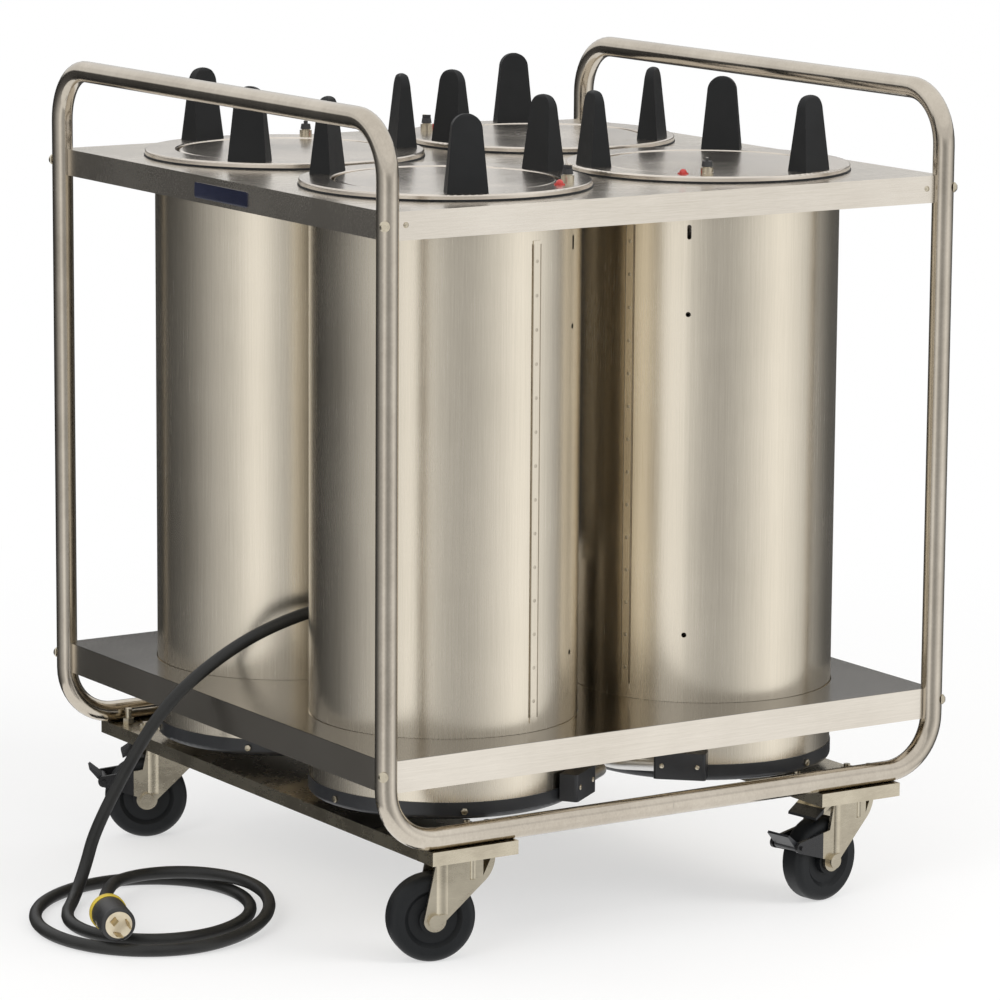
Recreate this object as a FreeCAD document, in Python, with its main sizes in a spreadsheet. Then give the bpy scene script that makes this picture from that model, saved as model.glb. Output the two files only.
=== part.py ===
import FreeCAD, Part
import math
import os
import re
import Sketcher

# Mobile heated plate dispenser: four self-levelling heated wells in a tube-frame cart.
# The origin is on the floor under the middle of the cart, X runs along the front
# to the right, Y to the back and Z up. Lengths are millimetres, turns are degrees.

SIZES = {
    # Bent tube frame, measured between tube axes
    "frame_width": 762,
    "frame_depth": 762,
    "tube_dia": 25.4,
    "tube_wall": 1.6,
    "bend_radius": 63.5,
    "handle_rise": 98,
    # Sheet decks, heights to the top faces
    "top_deck_height": 865,
    "top_deck_flange": 32,
    "lower_deck_height": 251,
    "lower_deck_flange": 37,
    "deck_sheet": 1.5,
    "cope_clearance": 0.3,
    "deck_hole_clearance": 1.2,
    # Bolts through the posts into the deck corners
    "bolt_dia": 6,
    "bolt_hole_clearance": 0.25,
    "bolt_head_dia": 12,
    "bolt_head_height": 4,
    "bolt_drop": 14,
    "bolt_tail": 3,
    "nut_width": 10,
    "nut_height": 5,
    "nut_clearance": 0.1,
    # Channels under the bottom rails
    "channel_width": 114,
    "channel_height": 16,
    "channel_wall": 3,
    "channel_inset": 111,
    "channel_overhang": 12.7,
    # Casters
    "caster_height": 140,
    "caster_inset": 44,
    "plate_length": 96,
    "plate_width": 66,
    "plate_sheet": 4,
    "plate_corner": 8,
    "plate_bolt_pitch_x": 74,
    "plate_bolt_pitch_y": 44,
    "plate_bolt_dia": 8,
    "plate_bolt_head_dia": 13,
    "plate_bolt_head_height": 5,
    "plate_bolt_tail": 12,
    "plate_bolt_short_tail": 3,
    "plate_nut_width": 13,
    "plate_nut_height": 7,
    "race_dia": 50,
    "race_height": 7,
    "race_slope": 4,
    "race_gap": 0.4,
    "king_pin_dia": 12,
    "king_pin_fit": 0.05,
    "king_pin_head_dia": 20,
    "king_pin_head_height": 4,
    "crown_sheet": 5,
    "crown_front": 34,
    "crown_back": 20,
    "crown_nose": 14,
    "nose_round": 40,
    "trail": 22,
    "wheel_dia": 101.6,
    "wheel_width": 32,
    "hub_width": 36,
    "hub_dia": 34,
    "wheel_dish": 5,
    "rim_depth": 17,
    "tread_round": 9,
    "wheel_side_gap": 0.8,
    "fork_sheet": 4,
    "fork_boss": 13,
    "fork_shoulder": 36,
    "rib_depth": 1.6,
    "wide_rib": 13,
    "wide_rib_place": 14,
    "wide_rib_low": 7,
    "narrow_rib": 7,
    "narrow_rib_place": 22,
    "axle_dia": 10,
    "axle_fit": 0.05,
    "axle_head_dia": 17,
    "axle_head_height": 6,
    "caster_turn_front_left": 163,
    "caster_turn_front_right": 190,
    "caster_turn_back_left": 155,
    "caster_turn_back_right": 160,
    # Brake pedals on two of the casters
    "brake_pivot_gap": 8,
    "brake_pivot_turn": 24,
    "brake_pin_dia": 5,
    "brake_pin_fit": 0.05,
    "brake_hub_dia": 11,
    "brake_nose_gap": 0.5,
    "brake_nose_width": 6,
    "brake_throw": 30,
    "brake_width": 34,
    "pedal_reach": 23,
    "pedal_turn": 44,
    "pedal_sheet": 3,
    "brake_ear": 7,
    "hood_reach": 32,
    "hood_drop": 21,
    "hood_sheet": 3,
    # Dispenser units on a square pitch, turned as they stand in the cart
    "unit_pitch": 366,
    "turn_front_left": 302,
    "turn_front_right": 223.5,
    "turn_back_left": 38.5,
    "turn_back_right": 125,
    "guide_turn": 65,
    "jacket_turn": 4,
    # Outer jackets
    "jacket_dia": 313,
    "jacket_wall": 1,
    "seam_turn": -27,
    "seam_width": 11,
    "seam_step": 1,
    "jacket_slot_width": 5,
    "jacket_slot_length": 17,
    "jacket_slot_drop": 58,
    "jacket_hole_dia": 6,
    "jacket_high_hole_drop": 154,
    "jacket_low_hole_rise": 81,
    # Inner tubes with their hanger slots
    "well_dia": 262,
    "well_wall": 1,
    "hanger_slot_width": 13,
    "hanger_slot_margin": 9,
    # Top flanges
    "flange_dia": 337,
    "flange_rise": 8,
    "flange_sheet": 1.5,
    "flange_round": 2,
    "flange_lip": 14,
    # Plate guides
    "guide_radius": 146,
    "guide_width": 47,
    "guide_shoulder": 35,
    "guide_thick": 26,
    "guide_tip": 10,
    "guide_height": 88,
    # Plate carriers
    "carrier_dia": 256,
    "carrier_sink": 1,
    "carrier_sheet": 1.5,
    "carrier_round": 4,
    "carrier_rim": 16,
    "carrier_stop_height": 263,
    "hanger_width": 9,
    "hanger_sheet": 4,
    "hanger_drop": 172,
    "hanger_radius": 122,
    "hanger_arm_height": 7,
    "hanger_arm_end": 152,
    # Lift springs between flange and carrier arms
    "spring_radius": 144,
    "spring_dia": 14,
    "spring_wire": 1.8,
    "spring_seat_gap": 0.3,
    # Base pans with terminal boxes
    "pan_clearance": 14,
    "pan_height": 20,
    "pan_lip": 1,
    "pan_sheet": 2,
    "pan_round": 6,
    "pan_spigot": 13,
    "pan_fit": 0.3,
    "terminal_reach": 22,
    "terminal_width": 62,
    "terminal_height": 32,
    "terminal_round": 4,
    # Ring heating elements
    "element_dia": 190,
    "element_tube": 8,
    "element_rise": 30,
    "element_leg_dia": 6.5,
    "element_leg_spread": 20,
    # Thermostats, knobs and pilot lamps
    "knob_turn": 11,
    "control_radius": 143.5,
    "thermostat_depth": 17,
    "thermostat_width": 34,
    "thermostat_height": 40,
    "thermostat_neck_dia": 10,
    "thermostat_neck_rise": 9,
    "thermostat_nut_dia": 15,
    "thermostat_nut_height": 8,
    "knob_dia": 13,
    "knob_tip_dia": 11,
    "knob_height": 10,
    "knob_gap": 0.5,
    "knob_grip_width": 3.5,
    "knob_grip_height": 4,
    "knob_stem_dia": 6,
    "knob_stem_fit": 0.05,
    "knob_stem_depth": 20,
    "lamp_dia": 9,
    "lamp_hole_clearance": 0.3,
    "lamp_bezel_dia": 13,
    "lamp_bezel_height": 1.5,
    "lamp_depth": 22,
    # Junction box on the lower deck, conduits to the terminal boxes
    "box_side": 120,
    "box_height": 132,
    "box_sheet": 1.5,
    "cover_lip": 12,
    "cover_fit": 0.3,
    "conduit_dia": 12,
    "conduit_wall": 1,
    "conduit_bend": 36,
    "conduit_lane": 11,
    "conduit_riser": 36,
    "conduit_level": 176,
    "conduit_hole_clearance": 0.5,
    "conduit_end": 14,
    # Cord, gland and plug
    "cord_dia": 15,
    "cord_rise": 99,
    "gland_nut_dia": 32,
    "gland_nut_height": 10,
    "gland_neck_dia": 22,
    "gland_tip_dia": 20,
    "gland_length": 32,
    "gland_fit": 0.2,
    "gland_tail": 12,
    "coil_centre_x": -474,
    "coil_centre_y": -5,
    "coil_lean": 57.3,
    "coil_stretch_share": 1.2,
    "coil_start_radius": 98,
    "coil_rate_out": 38,
    "coil_rate_in": -185,
    "coil_layer_gap": 1,
    "coil_turns_out_share": 1.3,
    "coil_turns_back_share": 0.3,
    "coil_turns_share": 1.875,
    "landing_run": 30,
    "cord_joint_gap": 0.2,
    "plug_x": -566,
    "plug_y": -62,
    "plug_heading": 254,
    "plug_dia": 40,
    "plug_length": 62,
    "plug_tail_dia": 22,
    "plug_tail_length": 16,
    "plug_ring_dia": 42,
    "plug_ring_length": 7,
    "plug_round": 4,
    "plug_face_dia": 31,
    "plug_face_depth": 8,
    "plug_face_fit": 0.2,
    "blade_count": 3,
    "blade_circle": 19,
    "blade_width": 8,
    "blade_sheet": 1.6,
    "blade_length": 17,
    "blade_depth": 5,
    # Overrun of every cut past the face that it opens
    "cut_overrun": 2,
    # Share of a full chord above which an arc counts as a half circle
    "half_round_share": 0.999,
}

# Sizes that follow from the driving ones
DERIVED = {
    "tube_radius": "tube_dia / 2",
    "half_width": "frame_width / 2",
    "half_depth": "frame_depth / 2",
    "half_pitch": "unit_pitch / 2",
    "handle_height": "top_deck_height + handle_rise",
    "channel_top": "caster_height + channel_wall",
    "rail_height": "channel_top + tube_radius",
    "cope_radius": "tube_radius + cope_clearance",
    "caster_x": "half_width - channel_inset",
    "caster_y": "half_depth - caster_inset",
    "wheel_radius": "wheel_dia / 2",
    "crown_top": "caster_height - plate_sheet - race_height - race_gap",
    "crown_bottom": "crown_top - crown_sheet",
    "fork_inner": "hub_width / 2 + wheel_side_gap",
    "fork_outer": "fork_inner + fork_sheet",
    "brake_reach": "wheel_radius + brake_pivot_gap",
    "brake_x": "trail + brake_reach * cos(brake_pivot_turn * 1 deg)",
    "brake_z": "wheel_radius + brake_reach * sin(brake_pivot_turn * 1 deg)",
    "jacket_radius": "jacket_dia / 2",
    "jacket_bore": "jacket_radius - jacket_wall",
    "jacket_bottom": "channel_top + pan_clearance + pan_height",
    "flange_top": "top_deck_height + flange_rise",
    "flange_seat": "flange_top - flange_sheet",
    "flange_radius": "flange_dia / 2",
    "well_radius": "well_dia / 2",
    "well_top": "flange_top - flange_lip",
    "pan_bottom": "jacket_bottom - pan_height",
    "pan_floor": "pan_bottom + pan_sheet",
    "pan_radius": "jacket_radius + pan_lip",
    "spigot_radius": "jacket_bore - pan_fit",
    "carrier_top": "flange_top - carrier_sink",
    "carrier_travel": "carrier_top - pan_floor - carrier_stop_height",
    "hanger_arm_level": "carrier_top - hanger_drop",
    "spring_bottom": "hanger_arm_level + hanger_arm_height / 2 + spring_seat_gap",
    "slot_top": "hanger_arm_level + hanger_arm_height / 2 + hanger_slot_margin",
    "slot_bottom": "hanger_arm_level - carrier_travel - hanger_arm_height / 2 - hanger_slot_margin",
    "terminal_face": "pan_radius + pan_fit",
    "thermostat_top": "flange_seat",
    "knob_base": "flange_top + thermostat_neck_rise + knob_gap",
    "box_half": "box_side / 2",
    "box_top": "lower_deck_height + box_height",
    "cord_height": "lower_deck_height + cord_rise",
    "gland_end": "box_half + gland_length",
    "cord_radius": "cord_dia / 2",
    "plug_height": "cord_dia + coil_layer_gap + plug_ring_dia / 2",
}

CORNERS = {
    "front_left": (-1, -1),
    "front_right": (1, -1),
    "back_left": (-1, 1),
    "back_right": (1, 1),
}
BRAKED = ("front_right", "back_left")

# Cord between the gland and the floor, chosen along the photographed line, and the
# height of the gland that this line was drawn from
ROUTE_TOP = 350
CORD_ROUTE = [
    (-151, 1, 351),
    (-214, 2, 348),
    (-275, 2, 338),
    (-330, 6, 320),
    (-369, 26, 291),
    (-403, 49, 255),
    (-430, 70, 213),
    (-453, 86, 164),
    (-475, 98, 116),
    (-491, 107, 75),
    (-498, 110, 46),
    (-512, 103, 21),
]

doc = FreeCAD.newDocument("PlateDispenser")
sheet = doc.addObject("Spreadsheet::Sheet", "dims")
for row, (alias, number) in enumerate(SIZES.items(), 1):
    sheet.set(f"A{row}", alias)
    sheet.set(f"B{row}", str(number))
    sheet.setAlias(f"B{row}", alias)
doc.recompute()

NODES = {}


def bound(text):
    def swap(match):
        word = match.group(0)
        if word in DERIVED:
            return "(" + bound(DERIVED[word]) + ")"
        if word in SIZES:
            return "dims." + word
        return word

    return re.sub(r"[A-Za-z_]\w*", swap, text)


def value(text):
    return float(sheet.evalExpression(bound(text)))


def vector(*texts):
    return FreeCAD.Vector(*[value(text) for text in texts])


def signed(sign, text):
    return text if sign > 0 else f"-({text})"


def node(thing, label):
    thing.Label = label
    NODES[label] = thing
    return thing


def group(label, things):
    compound = doc.addObject("Part::Compound", label)
    compound.Links = things
    return node(compound, label)


def place(thing, x="0", y="0", z="0", turn=None):
    if turn:
        upright = FreeCAD.Rotation(FreeCAD.Vector(0, 0, 1), value(turn))
        thing.Placement = FreeCAD.Placement(FreeCAD.Vector(), upright)
        thing.setExpression("Placement.Rotation.Angle", f"({bound(turn)}) * 1 deg")
    for axis, text in zip("xyz", (x, y, z)):
        if text != "0":
            thing.setExpression(f"Placement.Base.{axis}", bound(text))
    return thing


def place_unit(thing, corner, extra="0"):
    side, end = CORNERS[corner]
    turn = f"turn_{corner} + {extra}"
    return place(thing, signed(side, "half_pitch"), signed(end, "half_pitch"), "0", turn)


def place_caster(thing, corner):
    side, end = CORNERS[corner]
    x, y = signed(side, "caster_x"), signed(end, "caster_y")
    return place(thing, x, y, "0", f"caster_turn_{corner}")


def new_body(name):
    return doc.addObject("PartDesign::Body", name)


def arc_geometry(start, end, radius, turn):
    chord = end - start
    middle = (start + end) / 2
    left = FreeCAD.Vector(-chord.y, chord.x, 0).normalize()
    rise = math.sqrt(max(radius * radius - chord.Length ** 2 / 4, 0))
    centre = middle + left * rise * turn
    if rise < radius / 1000:
        outward = left * -turn
    else:
        outward = (middle - centre).normalize()
    return Part.Arc(start, centre + outward * radius, end)


# Each loop is a circle (x, y, radius) or a list of corners. A corner with two more
# entries starts an arc of that radius, turning left for 1 and right for -1. A half
# circle, whose chord lies along the sketch's X, is held by its centre.
def sketch_on(body, plane, loops, lift=None):
    sketch = body.newObject("Sketcher::SketchObject", body.Name + "_sketch")
    support = [part for part in body.Origin.OriginFeatures if part.Role == plane][0]
    sketch.AttachmentSupport = (support, [""])
    sketch.MapMode = "FlatFace"
    if lift:
        sketch.setExpression("AttachmentOffset.Base.z", bound(lift))

    def fix(kind, *entries, text):
        index = sketch.addConstraint(Sketcher.Constraint(kind, *entries, value(text)))
        sketch.setExpression(f"Constraints[{index}]", bound(text))

    def hold(geometry, point, x, y):
        for kind, axis, text in (("DistanceX", -2, x), ("DistanceY", -1, y)):
            if text == "0":
                sketch.addConstraint(Sketcher.Constraint("PointOnObject", geometry, point, axis))
            else:
                fix(kind, -1, 1, geometry, point, text=text)

    for loop in loops:
        if isinstance(loop, tuple):
            x, y, radius = loop
            circle = Part.Circle(vector(x, y, "0"), FreeCAD.Vector(0, 0, 1), value(radius))
            index = sketch.addGeometry(circle)
            hold(index, 3, x, y)
            fix("Radius", index, text=radius)
            continue
        places = [vector(corner[0], corner[1], "0") for corner in loop]
        ends = []
        for number, corner in enumerate(loop):
            start = places[number]
            end = places[(number + 1) % len(loop)]
            if len(corner) == 2:
                index = sketch.addGeometry(Part.LineSegment(start, end))
                ends.append((index, 1, 2))
            else:
                index = sketch.addGeometry(arc_geometry(start, end, value(corner[2]), corner[3]))
                ends.append((index, 1, 2) if corner[3] > 0 else (index, 2, 1))
        for number, corner in enumerate(loop):
            index, first, last = ends[number]
            before = ends[number - 1]
            sketch.addConstraint(Sketcher.Constraint("Coincident", before[0], before[2], index, first))
            hold(index, first, corner[0], corner[1])
        for number, corner in enumerate(loop):
            if len(corner) == 2:
                continue
            chord = places[(number + 1) % len(loop)] - places[number]
            if chord.Length > 2 * value(corner[2]) * value("half_round_share"):
                fix("DistanceY", -1, 1, ends[number][0], 3, text=corner[1])
            else:
                fix("Radius", ends[number][0], text=corner[2])
    return sketch


def extrude(body, kind, sketch, length, both=False, flip=False):
    feature = body.newObject("PartDesign::" + kind, body.Name + "_" + kind.lower())
    feature.Profile = sketch
    feature.setExpression("Length", bound(length))
    feature.Midplane = both
    feature.Reversed = flip
    return feature


def pad(body, plane, loops, length, lift=None, both=False, flip=False):
    return extrude(body, "Pad", sketch_on(body, plane, loops, lift), length, both, flip)


def pocket(body, plane, loops, length, lift=None, both=False, flip=False):
    return extrude(body, "Pocket", sketch_on(body, plane, loops, lift), length, both, flip)


def revolve(body, plane, loops, kind="Revolution", axis="V_Axis"):
    sketch = sketch_on(body, plane, loops)
    feature = body.newObject("PartDesign::" + kind, body.Name + "_" + kind.lower())
    feature.Profile = sketch
    feature.ReferenceAxis = (sketch, [axis])
    feature.Angle = 360
    return feature


def repeat_round(body, feature, count):
    sketch = feature.Profile[0]
    upright = [part for part in body.Origin.OriginFeatures if part.Role == "Z_Axis"][0]
    pattern = body.newObject("PartDesign::PolarPattern", body.Name + "_pattern")
    pattern.Originals = [feature]
    pattern.Axis = (upright, [""])
    pattern.Angle = 360
    pattern.Occurrences = count
    sketch.Visibility = False
    body.Tip = pattern
    return pattern


def box_loop(x_low, x_high, y_low, y_high):
    return [(x_low, y_low), (x_high, y_low), (x_high, y_high), (x_low, y_high)]


# A rectangle about the origin with round corners
def soft_loop(half_x, half_y, round_size):
    low_x, high_x = f"-({half_x})", half_x
    low_y, high_y = f"-({half_y})", half_y
    return [
        (f"{low_x} + {round_size}", low_y),
        (f"{high_x} - {round_size}", low_y, round_size, 1),
        (high_x, f"{low_y} + {round_size}"),
        (high_x, f"{high_y} - {round_size}", round_size, 1),
        (f"{high_x} - {round_size}", high_y),
        (f"{low_x} + {round_size}", high_y, round_size, 1),
        (low_x, f"{high_y} - {round_size}"),
        (low_x, f"{low_y} + {round_size}", round_size, 1),
    ]


def cylinder(name, radius, height):
    thing = doc.addObject("Part::Cylinder", name)
    thing.setExpression("Radius", bound(radius))
    thing.setExpression("Height", bound(height))
    return thing


def cut(name, base, tools):
    tool = tools[0]
    if len(tools) > 1:
        tool = doc.addObject("Part::Compound", name + "_tools")
        tool.Links = tools
    result = doc.addObject("Part::Cut", name)
    result.Base = base
    result.Tool = tool
    return result


def swept(name, path, radius):
    first = path.Shape.OrderedEdges[0]
    along = first.tangentAt(first.FirstParameter)
    circle = doc.addObject("Part::Circle", name + "_section")
    circle.setExpression("Radius", bound(radius))
    facing = FreeCAD.Rotation(FreeCAD.Vector(0, 0, 1), along)
    circle.Placement = FreeCAD.Placement(first.valueAt(first.FirstParameter), facing)
    sweep = doc.addObject("Part::Sweep", name)
    sweep.Sections = [circle]
    sweep.Spine = (path, [])
    sweep.Solid = True
    return sweep


def path_feature(name, wire):
    path = doc.addObject("Part::Feature", name)
    path.Shape = wire
    return path


# Straight runs joined by tangent arcs. Each arc is as large as the radius asked for,
# or as its two runs allow when a share of the shorter run is given.
def rounded_wire(points, radius=None, share=None):
    edges, radii = [], []
    here = points[0]
    for before, corner, after in zip(points, points[1:], points[2:]):
        inward = (before - corner).normalize()
        onward = (after - corner).normalize()
        half_turn = (math.pi - inward.getAngle(onward)) / 2
        shorter = min((before - corner).Length, (after - corner).Length)
        size = radius if radius else share * shorter / math.tan(half_turn)
        back = size * math.tan(half_turn)
        start = corner + inward * back
        end = corner + onward * back
        bisector = (inward + onward).normalize()
        middle = corner + bisector * (size / math.cos(half_turn) - size)
        edges.append(Part.LineSegment(here, start).toShape())
        edges.append(Part.Arc(start, middle, end).toShape())
        radii.append(size)
        here = end
    edges.append(Part.LineSegment(here, points[-1]).toShape())
    return Part.Wire(edges), radii


# Frame tubes: bottom rail, post, handle, post and bottom rail in one bent length
def corner_bolt_levels():
    return {
        "top": "top_deck_height - bolt_drop",
        "lower": "lower_deck_height - bolt_drop",
    }


def diagonal(corner):
    side, end = CORNERS[corner]
    return FreeCAD.Vector(-side, -end, 0).normalize()


# A cylinder along the inward diagonal of a corner, from one distance to another
def diagonal_cylinder(name, corner, level, radius, first, length):
    side, end = CORNERS[corner]
    rod = cylinder(name, radius, length)
    aim = FreeCAD.Rotation(FreeCAD.Vector(0, 0, 1), diagonal(corner))
    rod.Placement = FreeCAD.Placement(FreeCAD.Vector(), aim)
    shift = f"({first}) / sqrt(2)"
    rod.setExpression("Placement.Base.x", bound(f"{signed(side, 'half_width')} - {side} * {shift}"))
    rod.setExpression("Placement.Base.y", bound(f"{signed(end, 'half_depth')} - {end} * {shift}"))
    rod.setExpression("Placement.Base.z", bound(level))
    return rod


def bolt_holes(name, corners, levels):
    holes = []
    for corner in corners:
        for level in levels:
            hole = diagonal_cylinder(
                f"{name}_hole",
                corner,
                level,
                "bolt_dia / 2 + bolt_hole_clearance",
                "-tube_radius - cut_overrun",
                "tube_dia + 2 * cut_overrun + cope_clearance + deck_sheet",
            )
            holes.append(hole)
    return holes


def frame_tube(label, side):
    half_x = signed(side, "half_width")
    corners = [
        vector("0", "half_depth", "rail_height"),
        vector(half_x, "half_depth", "rail_height"),
        vector(half_x, "half_depth", "handle_height"),
        vector(half_x, "-half_depth", "handle_height"),
        vector(half_x, "-half_depth", "rail_height"),
        vector("0", "-half_depth", "rail_height"),
    ]
    wire, _ = rounded_wire(corners, radius=value("bend_radius"))
    path = path_feature(label + "_path", wire)
    outer = swept(label + "_outer", path, "tube_radius")
    inner = swept(label + "_inner", path, "tube_radius - tube_wall")
    mine = [corner for corner in CORNERS if CORNERS[corner][0] == side]
    holes = bolt_holes(label, mine, corner_bolt_levels().values())
    tube = cut(label + "_bore", outer, [inner])
    return node(cut(label, tube, holes), label)


# Decks: sheet pans with turned-down edges and corners coped round the posts
def deck_loop(inset):
    half_x = f"half_width - {inset}"
    half_y = f"half_depth - {inset}"
    radius = f"cope_radius + {inset}"
    start = f"sqrt(({radius}) ^ 2 - ({inset}) ^ 2)"
    near_x, near_y = f"half_width - {start}", f"half_depth - {start}"
    loop = []
    for side, end, along_x in ((-1, -1, 1), (1, -1, 0), (1, 1, 1), (-1, 1, 0)):
        first = (signed(side, near_x), signed(end, half_y))
        second = (signed(side, half_x), signed(end, near_y))
        pair = (second, first) if along_x else (first, second)
        loop.append((*pair[0], radius, -1))
        loop.append(pair[1])
    return loop


def deck(label, height, flange, level_name, extra_holes):
    body = new_body(label + "_pan")
    low = f"{height} - {flange}"
    pad(body, "XY_Plane", [deck_loop("0")], flange, lift=low)
    pocket(body, "XY_Plane", [deck_loop("deck_sheet")], f"{flange} - deck_sheet", lift=low, flip=True)
    holes = []
    for side, end in CORNERS.values():
        x, y = signed(side, "half_pitch"), signed(end, "half_pitch")
        holes.append((x, y, "jacket_radius + deck_hole_clearance"))
    pocket(body, "XY_Plane", holes + extra_holes, "deck_sheet + cut_overrun", lift=height)
    bores = bolt_holes(label, CORNERS, [corner_bolt_levels()[level_name]])
    return node(cut(label, body, bores), label)


def riser_holes(clearance):
    radius = f"conduit_dia / 2 + {clearance}"
    return [
        (signed(side, "conduit_lane"), signed(end, "conduit_riser"), radius)
        for side, end in CORNERS.values()
    ]


# Corner bolts: a domed head outside the post, a nut inside the deck corner
def frame_bolts():
    pieces = []
    head_seat = "tube_radius"
    nut_seat = "tube_radius + cope_clearance + deck_sheet"
    tail = f"{nut_seat} + nut_height + bolt_tail"
    for corner in CORNERS:
        side, end = CORNERS[corner]
        aim = FreeCAD.Rotation(FreeCAD.Vector(0, 0, 1), diagonal(corner))
        for level_name, level in corner_bolt_levels().items():
            bolt = new_body(f"frame_bolt_{level_name}_{corner}")
            profile = [
                ("0", f"-({head_seat}) - bolt_head_height"),
                ("bolt_dia / 2", f"-({head_seat}) - bolt_head_height"),
                ("bolt_head_dia / 2", f"-({head_seat}) - bolt_head_height / 3"),
                ("bolt_head_dia / 2", f"-({head_seat})"),
                ("bolt_dia / 2", f"-({head_seat})"),
                ("bolt_dia / 2", tail),
                ("0", tail),
            ]
            revolve(bolt, "XZ_Plane", [profile])
            nut = new_body(f"frame_nut_{level_name}_{corner}")
            bore = ("0", "0", "bolt_dia / 2 + nut_clearance")
            pad(nut, "XY_Plane", [hex_loop("nut_width"), bore], "nut_height", lift=nut_seat)
            for piece in (bolt, nut):
                piece.Placement = FreeCAD.Placement(FreeCAD.Vector(), aim)
                place(piece, signed(side, "half_width"), signed(end, "half_depth"), level)
            pieces += [bolt, nut]
    return group("frame_bolts", pieces)


def hex_loop(across_flats):
    half = f"({across_flats}) / 2"
    point = f"({across_flats}) / sqrt(3)"
    return [
        (point, "0"),
        (f"{point} / 2", half),
        (f"-{point} / 2", half),
        (f"-{point}", "0"),
        (f"-{point} / 2", f"-{half}"),
        (f"{point} / 2", f"-{half}"),
    ]


# Caster channels: long shallow pans turned upside down under the two bottom rails
def caster_bolt_places(side):
    places = []
    for end in (-1, 1):
        for step_x in (-1, 1):
            for step_y in (-1, 1):
                x = f"{signed(side, 'caster_x')} + {step_x} * plate_bolt_pitch_x / 2"
                y = f"{signed(end, 'caster_y')} + {step_y} * plate_bolt_pitch_y / 2"
                tail = "plate_bolt_tail" if step_y == end else "plate_bolt_short_tail"
                places.append((x, y, tail))
    return places


def caster_channel(label, side):
    body = new_body(label)
    middle = signed(side, "caster_x")
    low = "channel_top - channel_height"
    half_x, half_y = "channel_width / 2", "half_depth + channel_overhang"
    outer = box_loop(f"{middle} - {half_x}", f"{middle} + {half_x}", f"-({half_y})", half_y)
    room_x, room_y = f"{half_x} - channel_wall", f"{half_y} - channel_wall"
    inner = box_loop(f"{middle} - ({room_x})", f"{middle} + {room_x}", f"-({room_y})", room_y)
    pad(body, "XY_Plane", [outer], "channel_height", lift=low)
    pocket(body, "XY_Plane", [inner], "channel_height - channel_wall", lift=low, flip=True)
    radius = "plate_bolt_dia / 2 + bolt_hole_clearance"
    holes = [(x, y, radius) for x, y, _ in caster_bolt_places(side)]
    pocket(body, "XY_Plane", holes, "channel_wall + cut_overrun", lift="channel_top")
    return node(body, label)


def caster_bolts():
    pieces = []
    for side in (-1, 1):
        for x, y, tail in caster_bolt_places(side):
            bolt = new_body("caster_bolt")
            low = "caster_height - plate_sheet"
            profile = [
                ("0", f"{low} - plate_bolt_head_height"),
                ("plate_bolt_head_dia / 2", f"{low} - plate_bolt_head_height"),
                ("plate_bolt_head_dia / 2", low),
                ("plate_bolt_dia / 2", low),
                ("plate_bolt_dia / 2", f"channel_top + plate_nut_height + {tail}"),
                ("0", f"channel_top + plate_nut_height + {tail}"),
            ]
            revolve(bolt, "XZ_Plane", [profile])
            nut = new_body("caster_nut")
            bore = ("0", "0", "plate_bolt_dia / 2 + nut_clearance")
            loops = [hex_loop("plate_nut_width"), bore]
            pad(nut, "XY_Plane", loops, "plate_nut_height", lift="channel_top")
            for piece in (bolt, nut):
                place(piece, x, y)
            pieces += [bolt, nut]
    return group("caster_bolts", pieces)


# Caster top plates with the upper bearing race and the king pin below
def caster_plates():
    plates = []
    low = "caster_height - plate_sheet"
    for corner in CORNERS:
        side, end = CORNERS[corner]
        body = new_body("caster_plate_" + corner)
        outline = soft_loop("plate_length / 2", "plate_width / 2", "plate_corner")
        radius = "plate_bolt_dia / 2 + bolt_hole_clearance"
        holes = [
            (f"{step_x} * plate_bolt_pitch_x / 2", f"{step_y} * plate_bolt_pitch_y / 2", radius)
            for step_x in (-1, 1)
            for step_y in (-1, 1)
        ]
        pad(body, "XY_Plane", [outline] + holes, "plate_sheet", lift=low)
        pin_low = "crown_bottom - king_pin_head_height - race_gap"
        profile = [
            ("0", pin_low),
            ("king_pin_head_dia / 2", pin_low),
            ("king_pin_head_dia / 2", "crown_bottom - race_gap"),
            ("king_pin_dia / 2", "crown_bottom - race_gap"),
            ("king_pin_dia / 2", f"{low} - race_height"),
            ("race_dia / 2 - race_slope", f"{low} - race_height"),
            ("race_dia / 2", low),
            ("0", low),
        ]
        revolve(body, "XZ_Plane", [profile])
        place(body, signed(side, "caster_x"), signed(end, "caster_y"))
        plates.append(body)
    return group("caster_plates", plates)


# Forks: crown, two legs and the axle bolt. The trail runs along the fork's own X.
def fork_leg_loop():
    return [
        ("trail + fork_boss", "wheel_radius"),
        ("crown_back", "crown_top - crown_sheet"),
        ("crown_back", "crown_top"),
        ("-crown_front", "crown_top"),
        ("-crown_front", "crown_top - fork_shoulder"),
        ("trail - fork_boss", "wheel_radius", "fork_boss", 1),
        ("trail", "wheel_radius - fork_boss", "fork_boss", 1),
    ]


def front_web_loop():
    return [
        ("-crown_front", "crown_top - fork_shoulder"),
        ("-crown_front", "crown_top - fork_shoulder + 2 * fork_sheet"),
        ("-crown_front - crown_nose + fork_sheet", "crown_bottom"),
        ("-crown_front - crown_nose", "crown_bottom", "nose_round", 1),
    ]


def rib_loops(middle, width):
    low, high = f"{middle} - {width} / 2", f"{middle} + {width} / 2"
    radius = f"({width} ^ 2 / 4 + rib_depth ^ 2) / (2 * rib_depth)"
    far = "fork_outer + cut_overrun"
    left = [(low, "fork_outer", radius, 1), (high, "fork_outer"), (high, far), (low, far)]
    right = [(high, "-fork_outer", radius, 1), (low, "-fork_outer"), (low, f"-({far})"), (high, f"-({far})")]
    return [left, right]


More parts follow.
